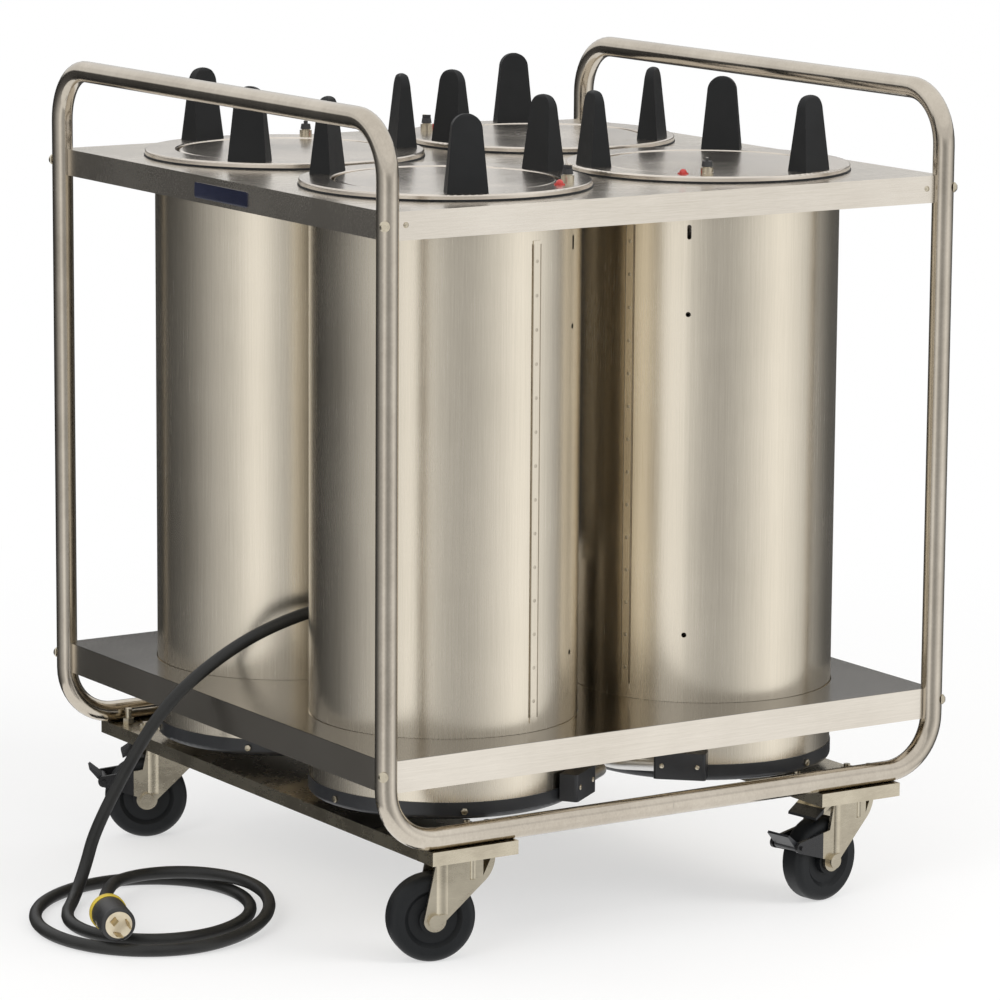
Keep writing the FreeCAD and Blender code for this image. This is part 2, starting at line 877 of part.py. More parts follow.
def brake_ear_loop():
    return [
        ("trail", "wheel_radius"),
        ("brake_x", "brake_z - brake_ear", "brake_ear", 1),
        ("brake_x + brake_ear", "brake_z", "brake_ear", 1),
        ("brake_x", "brake_z + brake_ear"),
        ("trail", "wheel_radius + 3 * fork_boss"),
    ]


def hood_loop():
    end_x, end_z = "crown_back + hood_reach", "crown_top - hood_drop"
    return [
        ("crown_back - crown_sheet", "crown_bottom"),
        (end_x, f"{end_z} - hood_sheet"),
        (end_x, end_z),
        ("crown_back", "crown_top"),
        ("crown_back - crown_sheet", "crown_top"),
    ]


def caster_fork(corner):
    body = new_body("caster_fork_body_" + corner)
    crown = box_loop("-crown_front", "crown_back", "-fork_outer", "fork_outer")
    pad(body, "XY_Plane", [crown], "crown_sheet", lift="crown_bottom")
    braked = corner in BRAKED
    for lift in ("fork_outer", "-fork_inner"):
        pad(body, "XZ_Plane", [fork_leg_loop()], "fork_sheet", lift=lift, flip=True)
        if braked:
            pad(body, "XZ_Plane", [brake_ear_loop()], "fork_sheet", lift=lift, flip=True)
    pad(body, "XZ_Plane", [front_web_loop()], "2 * fork_outer", both=True)
    if braked:
        pad(body, "XZ_Plane", [hood_loop()], "2 * fork_outer", both=True)
    rib_top = "crown_bottom - crown_sheet"
    wide = rib_loops("wide_rib_place", "wide_rib")
    pocket(body, "XY_Plane", wide, f"{rib_top} - wheel_radius - wide_rib_low", lift=rib_top)
    narrow = rib_loops("-narrow_rib_place", "narrow_rib")
    pocket(body, "XY_Plane", narrow, f"{rib_top} - crown_top + fork_shoulder - fork_sheet", lift=rib_top)
    bore = ("0", "0", "king_pin_dia / 2 + king_pin_fit")
    pocket(body, "XY_Plane", [bore], "crown_sheet + 2 * cut_overrun", lift="crown_top + cut_overrun")
    holes = [("trail", "wheel_radius", "axle_dia / 2 + axle_fit")]
    if braked:
        holes.append(("brake_x", "brake_z", "brake_pin_dia / 2 + brake_pin_fit"))
    pocket(body, "XZ_Plane", holes, "2 * fork_outer + 2 * cut_overrun", both=True)
    pieces = [body, axle_bolt("axle_bolt_" + corner)]
    if braked:
        pieces.append(brake_pin("brake_pin_" + corner))
    for piece in pieces:
        place_caster(piece, corner)
    return group("caster_fork_" + corner, pieces)


def axle_bolt(name):
    body = new_body(name)
    spread = "2 * fork_outer"
    pad(body, "XZ_Plane", [("trail", "wheel_radius", "axle_dia / 2")], spread, both=True)
    for flip, lift in ((False, "fork_outer"), (True, "-fork_outer")):
        head = ("trail", "wheel_radius", "axle_head_dia / 2")
        pad(body, "XZ_Plane", [head], "axle_head_height", lift=lift, flip=flip)
    return body


def brake_pin(name):
    body = new_body(name)
    pin = ("brake_x", "brake_z", "brake_pin_dia / 2")
    pad(body, "XZ_Plane", [pin], "2 * fork_outer + 2 * bolt_tail", both=True)
    return body


# Wheels: round-shouldered tyre, dished web and a hub that runs on the axle bolt
def caster_wheel(corner):
    body = new_body("caster_wheel_" + corner)
    rim = "wheel_radius - rim_depth"
    half = "wheel_width / 2"
    web = f"{half} - wheel_dish"
    profile = [
        ("axle_dia / 2 + axle_fit", "-hub_width / 2"),
        ("hub_dia / 2", "-hub_width / 2"),
        ("hub_dia / 2", f"-({web})"),
        (f"{rim} - wheel_dish", f"-({web})"),
        (rim, f"-({half})"),
        ("wheel_radius - tread_round", f"-({half})", "tread_round", 1),
        ("wheel_radius", f"-({half}) + tread_round"),
        ("wheel_radius", f"{half} - tread_round", "tread_round", 1),
        ("wheel_radius - tread_round", half),
        (rim, half),
        (f"{rim} - wheel_dish", web),
        ("hub_dia / 2", web),
        ("hub_dia / 2", "hub_width / 2"),
        ("axle_dia / 2 + axle_fit", "hub_width / 2"),
    ]
    revolve(body, "XY_Plane", [profile], axis="V_Axis")
    side, end = CORNERS[corner]
    lead = f"caster_turn_{corner} * 1 deg"
    x = f"{signed(side, 'caster_x')} + trail * cos({lead})"
    y = f"{signed(end, 'caster_y')} + trail * sin({lead})"
    place(body, x, y, "wheel_radius", f"caster_turn_{corner}")
    return node(body, "caster_wheel_" + corner)


# Brake pedals: a lever on the fork ears whose nose meets the tyre when pressed
def polar(reach, turn, across="0"):
    u = f"({reach}) * cos(({turn}) * 1 deg) - ({across}) * sin(({turn}) * 1 deg)"
    v = f"({reach}) * sin(({turn}) * 1 deg) + ({across}) * cos(({turn}) * 1 deg)"
    return f"brake_x + {u}", f"brake_z + {v}"


def brake_pedal(corner):
    body = new_body("brake_pedal_" + corner)
    pad(body, "XZ_Plane", [("brake_x", "brake_z", "brake_hub_dia / 2")], "brake_width", both=True)
    nose_turn = "brake_pivot_turn + 180 + brake_throw"
    nose_reach = "brake_pivot_gap - brake_nose_gap"
    nose = [
        polar("0", nose_turn, "-brake_nose_width / 2"),
        polar(nose_reach, nose_turn, "-brake_nose_width / 4"),
        polar(nose_reach, nose_turn, "brake_nose_width / 4"),
        polar("0", nose_turn, "brake_nose_width / 2"),
    ]
    pad(body, "XZ_Plane", [nose], "brake_width", both=True)
    arm = [
        polar("0", "pedal_turn", "-brake_hub_dia / 3"),
        polar("pedal_reach", "pedal_turn", "-pedal_sheet / 2"),
        polar("pedal_reach", "pedal_turn", "pedal_sheet / 2"),
        polar("0", "pedal_turn", "brake_hub_dia / 3"),
    ]
    pad(body, "XZ_Plane", [arm], "brake_width", both=True)
    bore = ("brake_x", "brake_z", "brake_pin_dia / 2 + brake_pin_fit")
    pocket(body, "XZ_Plane", [bore], "brake_width + 2 * cut_overrun", both=True)
    place_caster(body, corner)
    return node(body, "brake_pedal_" + corner)


# Outer jackets: rolled sheet with a lap seam, standing on the base pans
def jacket(corner):
    body = new_body("jacket_" + corner)
    rings = [("0", "0", "jacket_radius"), ("0", "0", "jacket_bore")]
    pad(body, "XY_Plane", rings, "flange_seat - jacket_bottom", lift="jacket_bottom")
    low, high = "jacket_radius - jacket_wall / 2", "jacket_radius + seam_step"
    aim = "seam_turn * 1 deg"
    strip = []
    for reach, across in ((low, -1), (high, -1), (high, 1), (low, 1)):
        edge = f"{across} * seam_width / 2"
        x = f"({reach}) * cos({aim}) - ({edge}) * sin({aim})"
        y = f"({reach}) * sin({aim}) + ({edge}) * cos({aim})"
        strip.append((x, y))
    seam_room = "top_deck_height - top_deck_flange - jacket_slot_length"
    pad(body, "XY_Plane", [strip], f"{seam_room} - lower_deck_height - seam_width", lift="lower_deck_height + seam_width")
    slot_z = "top_deck_height - jacket_slot_drop"
    half_w, half_l = "jacket_slot_width / 2", "jacket_slot_length / 2"
    slot = [
        (f"-{half_w}", f"{slot_z} - {half_l} + {half_w}", half_w, 1),
        (half_w, f"{slot_z} - {half_l} + {half_w}"),
        (half_w, f"{slot_z} + {half_l} - {half_w}", half_w, 1),
        (f"-{half_w}", f"{slot_z} + {half_l} - {half_w}"),
    ]
    high_hole = ("0", "top_deck_height - jacket_high_hole_drop", "jacket_hole_dia / 2")
    low_hole = ("0", "lower_deck_height + jacket_low_hole_rise", "jacket_hole_dia / 2")
    reach = "jacket_wall + 2 * cut_overrun"
    loops = [slot, high_hole, low_hole]
    pocket(body, "YZ_Plane", loops, reach, lift="jacket_radius + cut_overrun")
    place_unit(body, corner, "jacket_turn")
    return node(body, "jacket_" + corner)


# Inner tubes: the plate wells, with slots for the three carrier hangers
def inner_tube(corner):
    body = new_body("inner_tube_" + corner)
    rings = [("0", "0", "well_radius + well_wall"), ("0", "0", "well_radius")]
    pad(body, "XY_Plane", rings, "well_top - pan_floor", lift="pan_floor")
    half = "hanger_slot_width / 2"
    slot = [
        (f"-{half}", "slot_bottom", half, 1),
        (half, "slot_bottom"),
        (half, "slot_top", half, 1),
        (f"-{half}", "slot_top"),
    ]
    reach = "well_wall + 2 * cut_overrun"
    opening = pocket(body, "YZ_Plane", [slot], reach, lift="well_radius + well_wall + cut_overrun")
    repeat_round(body, opening, 3)
    place_unit(body, corner, "guide_turn")
    return node(body, "inner_tube_" + corner)


# Top flanges: spun rings that hang the units in the top deck
def flange(corner):
    body = new_body("flange_" + corner)
    lip_out = "well_radius + flange_sheet"
    rim_in = "flange_radius - flange_sheet"
    profile = [
        ("well_radius", "well_top"),
        (lip_out, "well_top"),
        (lip_out, "flange_seat"),
        (rim_in, "flange_seat"),
        (rim_in, "top_deck_height"),
        ("flange_radius", "top_deck_height"),
        ("flange_radius", "flange_top - flange_round", "flange_round", 1),
        ("flange_radius - flange_round", "flange_top"),
        ("well_radius + flange_round", "flange_top", "flange_round", 1),
        ("well_radius", "flange_top - flange_round"),
    ]
    revolve(body, "XZ_Plane", [profile])
    knob_x = "control_radius * cos(knob_turn * 1 deg)"
    knob_y = "control_radius * sin(knob_turn * 1 deg)"
    holes = [
        (knob_x, knob_y, "thermostat_neck_dia / 2 + nut_clearance"),
        ("control_radius", "0", "lamp_dia / 2 + lamp_hole_clearance"),
    ]
    pocket(body, "XY_Plane", holes, "flange_sheet + 2 * cut_overrun", lift="flange_top + cut_overrun")
    place_unit(body, corner)
    return node(body, "flange_" + corner)


# Plate guides: three tapered paddles with round tops on each flange
def plate_guides(corner):
    body = new_body("plate_guides_" + corner)
    half, shoulder = "guide_width / 2", "guide_shoulder / 2"
    bend = f"flange_top + guide_height - {shoulder}"
    front = [
        (f"-{half}", "flange_top"),
        (half, "flange_top"),
        (shoulder, bend, shoulder, 1),
        (f"-{shoulder}", bend),
    ]
    low = "guide_radius - guide_thick / 2"
    paddle = pad(body, "YZ_Plane", [front], "guide_thick", lift=low)
    tip = "guide_tip / 2"
    side_bend = f"flange_top + guide_height - {tip}"
    side = [
        ("guide_radius - guide_thick / 2", "flange_top - cut_overrun"),
        ("guide_radius + guide_thick / 2", "flange_top - cut_overrun"),
        ("guide_radius + guide_thick / 2", "flange_top"),
        (f"guide_radius + {tip}", side_bend, tip, 1),
        (f"guide_radius - {tip}", side_bend),
        ("guide_radius - guide_thick / 2", "flange_top"),
    ]
    outside = box_loop(
        "guide_radius - guide_thick",
        "guide_radius + guide_thick",
        "flange_top - 2 * cut_overrun",
        "flange_top + guide_height + cut_overrun",
    )
    taper = pocket(body, "XZ_Plane", [outside, side], "guide_width + 2 * cut_overrun", both=True)
    pattern = repeat_round(body, paddle, 3)
    pattern.Originals = [paddle, taper]
    place_unit(body, corner, "guide_turn")
    return node(body, "plate_guides_" + corner)


# Plate carriers: a disc with a turned-down rim on three hangers, whose arms reach
# through the slots of the inner tube to the springs
def carrier(corner):
    body = new_body("carrier_" + corner)
    radius = "carrier_dia / 2"
    inner = f"{radius} - carrier_sheet"
    under = "carrier_top - carrier_sheet"
    profile = [
        ("0", under),
        (inner, under),
        (inner, "carrier_top - carrier_rim"),
        (radius, "carrier_top - carrier_rim"),
        (radius, "carrier_top - carrier_round", "carrier_round", 1),
        (f"{radius} - carrier_round", "carrier_top"),
        ("0", "carrier_top"),
    ]
    revolve(body, "XZ_Plane", [profile])
    low = "hanger_arm_level - hanger_arm_height / 2"
    high = "hanger_arm_level + hanger_arm_height / 2"
    strap = [
        ("hanger_radius - hanger_sheet", low),
        ("hanger_arm_end", low),
        ("hanger_arm_end", high),
        ("hanger_radius", high),
        ("hanger_radius", "carrier_top - carrier_sheet / 2"),
        ("hanger_radius - hanger_sheet", "carrier_top - carrier_sheet / 2"),
    ]
    hanger = pad(body, "XZ_Plane", [strap], "hanger_width", both=True)
    repeat_round(body, hanger, 3)
    place_unit(body, corner, "guide_turn")
    return node(body, "carrier_" + corner)


# Lift springs: close-wound tension springs hung from the flange, closed at rest
def springs(corner):
    body = new_body("springs_" + corner)
    rings = [
        ("spring_radius", "0", "spring_dia / 2"),
        ("spring_radius", "0", "spring_dia / 2 - spring_wire"),
    ]
    coil = pad(body, "XY_Plane", rings, "flange_seat - spring_bottom", lift="spring_bottom")
    repeat_round(body, coil, 3)
    place_unit(body, corner, "guide_turn")
    return node(body, "springs_" + corner)


# Base pans close the jackets below, with a terminal box on the control side
def base_pans():
    pieces = []
    for corner in CORNERS:
        pan = new_body("base_pan_" + corner)
        ledge, wall = "jacket_bottom", "spigot_radius - pan_sheet"
        profile = [
            ("0", "pan_bottom"),
            ("pan_radius - pan_round", "pan_bottom", "pan_round", 1),
            ("pan_radius", "pan_bottom + pan_round"),
            ("pan_radius", ledge),
            ("spigot_radius", ledge),
            ("spigot_radius", f"{ledge} + pan_spigot"),
            (wall, f"{ledge} + pan_spigot"),
            (wall, "pan_floor"),
            ("0", "pan_floor"),
        ]
        revolve(pan, "XZ_Plane", [profile])
        terminal = new_body("terminal_box_" + corner)
        half = "terminal_width / 2"
        far = "terminal_face + terminal_reach"
        outline = [
            ("terminal_face", f"-{half}"),
            (f"{far} - terminal_round", f"-{half}", "terminal_round", 1),
            (far, f"-{half} + terminal_round"),
            (far, f"{half} - terminal_round", "terminal_round", 1),
            (f"{far} - terminal_round", half),
            ("terminal_face", half),
        ]
        pad(terminal, "XY_Plane", [outline], "terminal_height", lift="pan_bottom + pan_round")
        for piece in (pan, terminal):
            place_unit(piece, corner, "jacket_turn")
        pieces += [pan, terminal]
    return group("base_pans", pieces)


# Ring heating elements stand on two terminal legs on the pan floors
def heating_elements():
    pieces = []
    for corner in CORNERS:
        body = new_body("heating_element_" + corner)
        level = "pan_floor + element_rise"
        ring = ("element_dia / 2", level, "element_tube / 2")
        revolve(body, "XZ_Plane", [ring])
        x = "sqrt((element_dia / 2) ^ 2 - element_leg_spread ^ 2)"
        legs = [(x, f"{step} * element_leg_spread", "element_leg_dia / 2") for step in (-1, 1)]
        pad(body, "XY_Plane", legs, "element_rise", lift="pan_floor")
        place_unit(body, corner, "jacket_turn")
        pieces.append(body)
    return group("heating_elements", pieces)


# Thermostats under the flanges: body, threaded neck through the flange, ring nut
def thermostats():
    pieces = []
    stem = ("control_radius", "0", "knob_stem_dia / 2 + knob_stem_fit")
    for corner in CORNERS:
        body = new_body("thermostat_" + corner)
        block = box_loop(
            "control_radius - thermostat_depth / 2",
            "control_radius + thermostat_depth / 2",
            "-thermostat_width / 2",
            "thermostat_width / 2",
        )
        low = "thermostat_top - thermostat_height"
        pad(body, "XY_Plane", [block], "thermostat_height", lift=low)
        neck = ("control_radius", "0", "thermostat_neck_dia / 2")
        neck_top = "flange_top + thermostat_neck_rise"
        pad(body, "XY_Plane", [neck], f"{neck_top} - thermostat_top", lift="thermostat_top")
        depth = f"knob_stem_depth + thermostat_neck_rise"
        pocket(body, "XY_Plane", [stem], depth, lift=neck_top)
        nut = new_body("thermostat_nut_" + corner)
        bore = ("control_radius", "0", "thermostat_neck_dia / 2 + nut_clearance")
        ring = ("control_radius", "0", "thermostat_nut_dia / 2")
        pad(nut, "XY_Plane", [ring, bore], "thermostat_nut_height", lift="flange_top")
        for piece in (body, nut):
            place_unit(piece, corner, "knob_turn")
        pieces += [body, nut]
    return group("thermostats", pieces)


# Knobs turn on their stems, which run in the thermostat necks
def knob(corner):
    body = new_body("knob_" + corner)
    top = "knob_base + knob_height - knob_grip_height"
    profile = [
        ("0", "flange_top - knob_stem_depth + cut_overrun + knob_gap"),
        ("knob_stem_dia / 2", "flange_top - knob_stem_depth + cut_overrun + knob_gap"),
        ("knob_stem_dia / 2", "knob_base"),
        ("knob_dia / 2", "knob_base"),
        ("knob_tip_dia / 2", top),
        ("0", top),
    ]
    revolve(body, "XZ_Plane", [profile])
    half_l, half_w = "knob_tip_dia / 2 - knob_gap", "knob_grip_width / 2"
    grip = box_loop(f"-({half_l})", half_l, f"-{half_w}", half_w)
    pad(body, "XY_Plane", [grip], "knob_grip_height", lift=top)
    side, end = CORNERS[corner]
    lead = f"(turn_{corner} + knob_turn) * 1 deg"
    x = f"{signed(side, 'half_pitch')} + control_radius * cos({lead})"
    y = f"{signed(end, 'half_pitch')} + control_radius * sin({lead})"
    place(body, x, y, "0", f"turn_{corner} + knob_turn")
    return node(body, "knob_" + corner)


# Pilot lamps: a bezel and dome above the flange, the holder below
def pilot_lamps():
    lamps = []
    for corner in CORNERS:
        body = new_body("pilot_lamp_" + corner)
        seat = "flange_top + lamp_bezel_height"
        profile = [
            ("0", "flange_top - lamp_depth"),
            ("lamp_dia / 2", "flange_top - lamp_depth"),
            ("lamp_dia / 2", "flange_top"),
            ("lamp_bezel_dia / 2", "flange_top"),
            ("lamp_bezel_dia / 2", seat),
            ("lamp_dia / 2", seat, "lamp_dia / 2", 1),
            ("0", f"{seat} + lamp_dia / 2"),
        ]
        revolve(body, "XZ_Plane", [profile])
        side, end = CORNERS[corner]
        lead = f"turn_{corner} * 1 deg"
        x = f"{signed(side, 'half_pitch')} + control_radius * cos({lead})"
        y = f"{signed(end, 'half_pitch')} + control_radius * sin({lead})"
        place(body, x, y)
        lamps.append(body)
    return group("pilot_lamps", lamps)


# Junction box on the lower deck, open at the top under its lipped cover
def junction_box():
    body = new_body("junction_box")
    outer = box_loop("-box_half", "box_half", "-box_half", "box_half")
    pad(body, "XY_Plane", [outer], "box_height", lift="lower_deck_height")
    inside = "box_half - box_sheet"
    inner = box_loop(f"-({inside})", inside, f"-({inside})", inside)
    pocket(body, "XY_Plane", [inner], "box_height - box_sheet", lift="box_top")
    holes = riser_holes("conduit_hole_clearance")
    pocket(body, "XY_Plane", holes, "box_sheet + cut_overrun", lift="lower_deck_height + box_sheet")
    gland_hole = ("0", "cord_height", "gland_neck_dia / 2 + conduit_hole_clearance")
    reach = "box_sheet + 2 * cut_overrun"
    pocket(body, "YZ_Plane", [gland_hole], reach, lift="-box_half + box_sheet + cut_overrun")
    return node(body, "junction_box")


def junction_box_cover():
    body = new_body("junction_box_cover")
    half = "box_half + cover_fit + box_sheet"
    outer = box_loop(f"-({half})", half, f"-({half})", half)
    pad(body, "XY_Plane", [outer], "cover_lip", lift="box_top + box_sheet - cover_lip")
    inside = "box_half + cover_fit"
    inner = box_loop(f"-({inside})", inside, f"-({inside})", inside)
    low = "box_top + box_sheet - cover_lip"
    pocket(body, "XY_Plane", [inner], "cover_lip - box_sheet", lift=low, flip=True)
    return node(body, "junction_box_cover")


# Conduits run from the terminal boxes along the aisle between the units and rise
# through the lower deck into the junction box
def conduits():
    pieces = []
    for corner in CORNERS:
        side, end = CORNERS[corner]
        lead = math.radians(value(f"turn_{corner} + jacket_turn"))
        out = FreeCAD.Vector(math.cos(lead), math.sin(lead), 0)
        across = FreeCAD.Vector(-out.y, out.x, 0)
        if across.x * side > 0:
            across = -across
        hub = vector(signed(side, "half_pitch"), signed(end, "half_pitch"), "conduit_level")
        middle = value("terminal_face + terminal_reach / 2")
        start = hub + out * middle + across * value("terminal_width / 2")
        lane = value(signed(side, "conduit_lane"))
        turn = start + across * ((lane - start.x) / across.x)
        foot = vector(signed(side, "conduit_lane"), signed(end, "conduit_riser"), "conduit_level")
        top = FreeCAD.Vector(foot.x, foot.y, value("lower_deck_height + conduit_end"))
        wire, _ = rounded_wire([start, turn, foot, top], radius=value("conduit_bend"))
        path = path_feature(f"conduit_path_{corner}", wire)
        outer = swept(f"conduit_outer_{corner}", path, "conduit_dia / 2")
        inner = swept(f"conduit_inner_{corner}", path, "conduit_dia / 2 - conduit_wall")
        pieces.append(cut(f"conduit_{corner}", outer, [inner]))
    return group("conduits", pieces)


# Cord gland: a hexagon nut outside the box, a neck through its wall, a tapered tip
def cord_gland():
    body = new_body("cord_gland")
    bore = "cord_radius + gland_fit"
    profile = [
        (bore, "box_half - gland_tail"),
        ("gland_neck_dia / 2", "box_half - gland_tail"),
        ("gland_neck_dia / 2", "box_half"),
        ("gland_nut_dia / 2", "box_half"),
        ("gland_nut_dia / 2", "box_half + gland_nut_height"),
        ("gland_nut_dia / 2 - gland_fit * 10", "box_half + gland_nut_height + gland_fit * 10"),
        ("gland_tip_dia / 2", "gland_end"),
        (bore, "gland_end"),
    ]
    revolve(body, "XZ_Plane", [profile])
    facing = FreeCAD.Rotation(FreeCAD.Vector(0, 0, 1), FreeCAD.Vector(-1, 0, 0))
    body.Placement = FreeCAD.Placement(FreeCAD.Vector(), facing)
    body.setExpression("Placement.Base.z", bound("cord_height"))
    return node(body, "cord_gland")


# The coil on the floor spirals out, climbs a layer where it turns back and spirals in
def coil_point(turns):
    out_turns = value("coil_turns_out_share")
    back_turns = value("coil_turns_back_share")
    rate_out, rate_in = value("coil_rate_out"), value("coil_rate_in")
    radius = value("coil_start_radius") + rate_out * min(turns, out_turns)
    past = min(max(turns - out_turns, 0), back_turns)
    radius += rate_out * past + (rate_in - rate_out) * past ** 2 / (2 * back_turns)
    radius += rate_in * max(turns - out_turns - back_turns, 0)
    climb = past / back_turns
    climb = climb ** 2 * (3 - 2 * climb)
    level = value("cord_radius") + value("cord_dia + coil_layer_gap") * climb
    angle = math.radians(90 + 360 * turns)
    lean = math.radians(value("coil_lean"))
    u = radius * value("coil_stretch_share") * math.cos(angle)
    v = radius * math.sin(angle)
    x = value("coil_centre_x") + u * math.cos(lean) - v * math.sin(lean)
    y = value("coil_centre_y") + u * math.sin(lean) + v * math.cos(lean)
    return FreeCAD.Vector(x, y, level)


def coil_heading(turns):
    step = 1 / 1000
    return (coil_point(turns + step) - coil_point(max(turns - step, 0))).normalize()


def tangent_arc(start, heading, end):
    chord = end - start
    half_turn = heading.getAngle(chord)
    size = chord.Length / (2 * math.sin(half_turn))
    inward = (chord - heading * chord.dot(heading)).normalize()
    middle = start + heading * size * math.sin(half_turn) + inward * size * (1 - math.cos(half_turn))
    return Part.Arc(start, middle, end).toShape(), size


def biarc(start, heading, end, end_heading):
    reach = end - start
    both = heading + end_heading
    spread = 2 * (1 - heading.dot(end_heading))
    along = reach.dot(both)
    root = math.sqrt(along ** 2 + spread * reach.dot(reach))
    size = (root - along) / spread
    joint = (start + end + (heading - end_heading) * size) / 2
    first, first_size = tangent_arc(start, heading, joint)
    turned = end - joint
    back, back_size = tangent_arc(end, -end_heading, joint)
    return [first, Part.Edge(back)], [first_size, back_size], turned


def coil_edges():
    turns = value("coil_turns_share")
    quarters = math.ceil(turns * 4)
    marks = [turns * number / quarters for number in range(quarters + 1)]
    lead = coil_heading(0)
    dia = value("cord_dia")
    start = coil_point(0)
    stops = [(start, lead)]
    for mark in marks[1:]:
        stops.append((coil_point(mark), coil_heading(mark)))
    heading = math.radians(value("plug_heading"))
    aim = FreeCAD.Vector(math.cos(heading), math.sin(heading), 0)
    entry = vector("plug_x", "plug_y", "plug_height")
    stops.append((entry - aim * dia, aim))
    edges = [Part.LineSegment(start - lead * dia, start).toShape()]
    radii = []
    for (here, facing), (there, onward) in zip(stops, stops[1:]):
        arcs, sizes, _ = biarc(here, facing, there, onward)
        edges += arcs
        radii += sizes
    edges.append(Part.LineSegment(entry - aim * dia, entry).toShape())
    return edges, radii, entry, aim


def tube_on(wire, radius):
    first = wire.OrderedEdges[0]
    start = wire.OrderedVertexes[0].Point
    along = first.tangentAt(first.FirstParameter)
    if (first.valueAt(first.FirstParameter) - start).Length > radius:
        along = -first.tangentAt(first.LastParameter)
    section = Part.Wire(Part.makeCircle(radius, start, along))
    return wire.makePipeShell([section], True, False)


# Least gap between two stretches of the same cord that are over four diameters apart
def least_self_gap(wires, dia):
    points = []
    for wire in wires:
        points += wire.discretize(Distance=dia / 5)
    steps = [(after - before).Length for before, after in zip(points, points[1:])]
    runs = [0]
    for step in steps:
        runs.append(runs[-1] + step)
    least = runs[-1]
    for number, point in enumerate(points):
        for other in range(number + 1, len(points)):
            if runs[other] - runs[number] > 4 * dia:
                least = min(least, (points[other] - point).Length)
    return least - dia


def wound_tube(label, edges, radii):
    wire = Part.Wire(Part.__sortEdges__(edges))
    radius = value("cord_radius")
    solid = tube_on(wire, radius)
    feature = doc.addObject("Part::Feature", label)
    feature.Shape = solid
    expected = math.pi * radius ** 2 * wire.Length
    print(label, "length", round(wire.Length, 1), "smallest radius", round(min(radii), 1))
    print(label, "volume against section times length", round(solid.Volume / expected, 4))
    return node(feature, label), wire


def cord_and_coil():
    edges, radii, entry, aim = coil_edges()
    _, coil_wire = wound_tube("cord_coil", edges, radii)
    gap = least_self_gap([coil_wire], value("cord_dia"))
    print("cord_coil least gap to itself", round(gap, 2))
    lead = coil_heading(0)
    landing = coil_point(0) - lead * value("cord_dia")
    points = [FreeCAD.Vector(-value("gland_end"), 0, value("cord_height"))]
    level = value("cord_height") / ROUTE_TOP
    points += [FreeCAD.Vector(x, y, z * level) for x, y, z in CORD_ROUTE]
    points += [landing - lead * value("landing_run"), landing - lead * value("cord_joint_gap")]
    wire, radii = rounded_wire(points, share=0.45)
    print("power_cord radii", [round(size) for size in radii])
    _, cord_wire = wound_tube("power_cord", wire.OrderedEdges, radii)
    gap = least_self_gap([cord_wire, coil_wire], value("cord_dia"))
    print("cord and coil least gap to themselves", round(gap, 2))
    return entry, aim


# Plug: grip body with a ring and tail sleeve, insulating face and locking blades
def plug(entry, aim):
    facing = FreeCAD.Rotation(FreeCAD.Vector(0, 0, 1), aim)
    stand = FreeCAD.Placement(entry, facing)
    ring_end = "plug_tail_length + plug_ring_length"
    far = "plug_tail_length + plug_length"
    recess = "plug_face_dia / 2 + plug_face_fit"
    body = new_body("plug_body")
    profile = [
        ("0", "0"),
        ("plug_tail_dia / 2 - plug_face_fit", "0"),
        ("plug_tail_dia / 2", "plug_tail_length"),
        ("plug_ring_dia / 2", "plug_tail_length"),
        ("plug_ring_dia / 2", ring_end),
        ("plug_dia / 2", ring_end),
        ("plug_dia / 2", f"{far} - plug_round", "plug_round", 1),
        ("plug_dia / 2 - plug_round", far),
        (recess, far),
        (recess, f"{far} - plug_face_depth"),
        ("0", f"{far} - plug_face_depth"),
    ]
    revolve(body, "XZ_Plane", [profile])
    face = new_body("plug_face")
    disc = ("0", "0", "plug_face_dia / 2")
    slots = []
    for number in range(int(value("blade_count"))):
        slots.append(blade_loop(number, "plug_face_fit"))
    pad(face, "XY_Plane", [disc], "plug_face_depth", lift=f"{far} - plug_face_depth")
    pocket(face, "XY_Plane", slots, "blade_depth", lift=far)
    blades = new_body("plug_blades")
    shapes = [blade_loop(number, "0") for number in range(int(value("blade_count")))]
    pad(blades, "XY_Plane", shapes, "blade_length + blade_depth", lift=f"{far} - blade_depth")
    for piece, label in ((body, "plug_body"), (face, "plug_face"), (blades, "plug_blades")):
        piece.Placement = stand
        node(piece, label)


def blade_loop(number, room):
    turn = f"(360 / blade_count * {number}) * 1 deg"
    loop = []
    for deep, wide in ((-1, -1), (1, -1), (1, 1), (-1, 1)):
        reach = f"(blade_circle / 2 + {deep} * (blade_sheet / 2 + {room}))"
        across = f"({wide} * (blade_width / 2 + {room}))"
        x = f"{reach} * cos({turn}) - {across} * sin({turn})"
        y = f"{reach} * sin({turn}) + {across} * cos({turn})"
        loop.append((x, y))
    return loop


def build():
    frame_tube("frame_tube_left", -1)
    frame_tube("frame_tube_right", 1)
    deck("top_deck", "top_deck_height", "top_deck_flange", "top", [])
    lower_holes = riser_holes("deck_hole_clearance")
    deck("lower_deck", "lower_deck_height", "lower_deck_flange", "lower", lower_holes)
    frame_bolts()
    caster_channel("caster_channel_left", -1)
    caster_channel("caster_channel_right", 1)
    caster_bolts()
    caster_plates()
    base_pans()
    heating_elements()
    thermostats()
    pilot_lamps()
    for corner in CORNERS:
        caster_fork(corner)
        caster_wheel(corner)
        jacket(corner)
        inner_tube(corner)
        flange(corner)
        plate_guides(corner)
        carrier(corner)
        springs(corner)
        knob(corner)
    for corner in BRAKED:
        brake_pedal(corner)
    junction_box()
    junction_box_cover()
    conduits()
    cord_gland()
    entry, aim = cord_and_coil()
    plug(entry, aim)


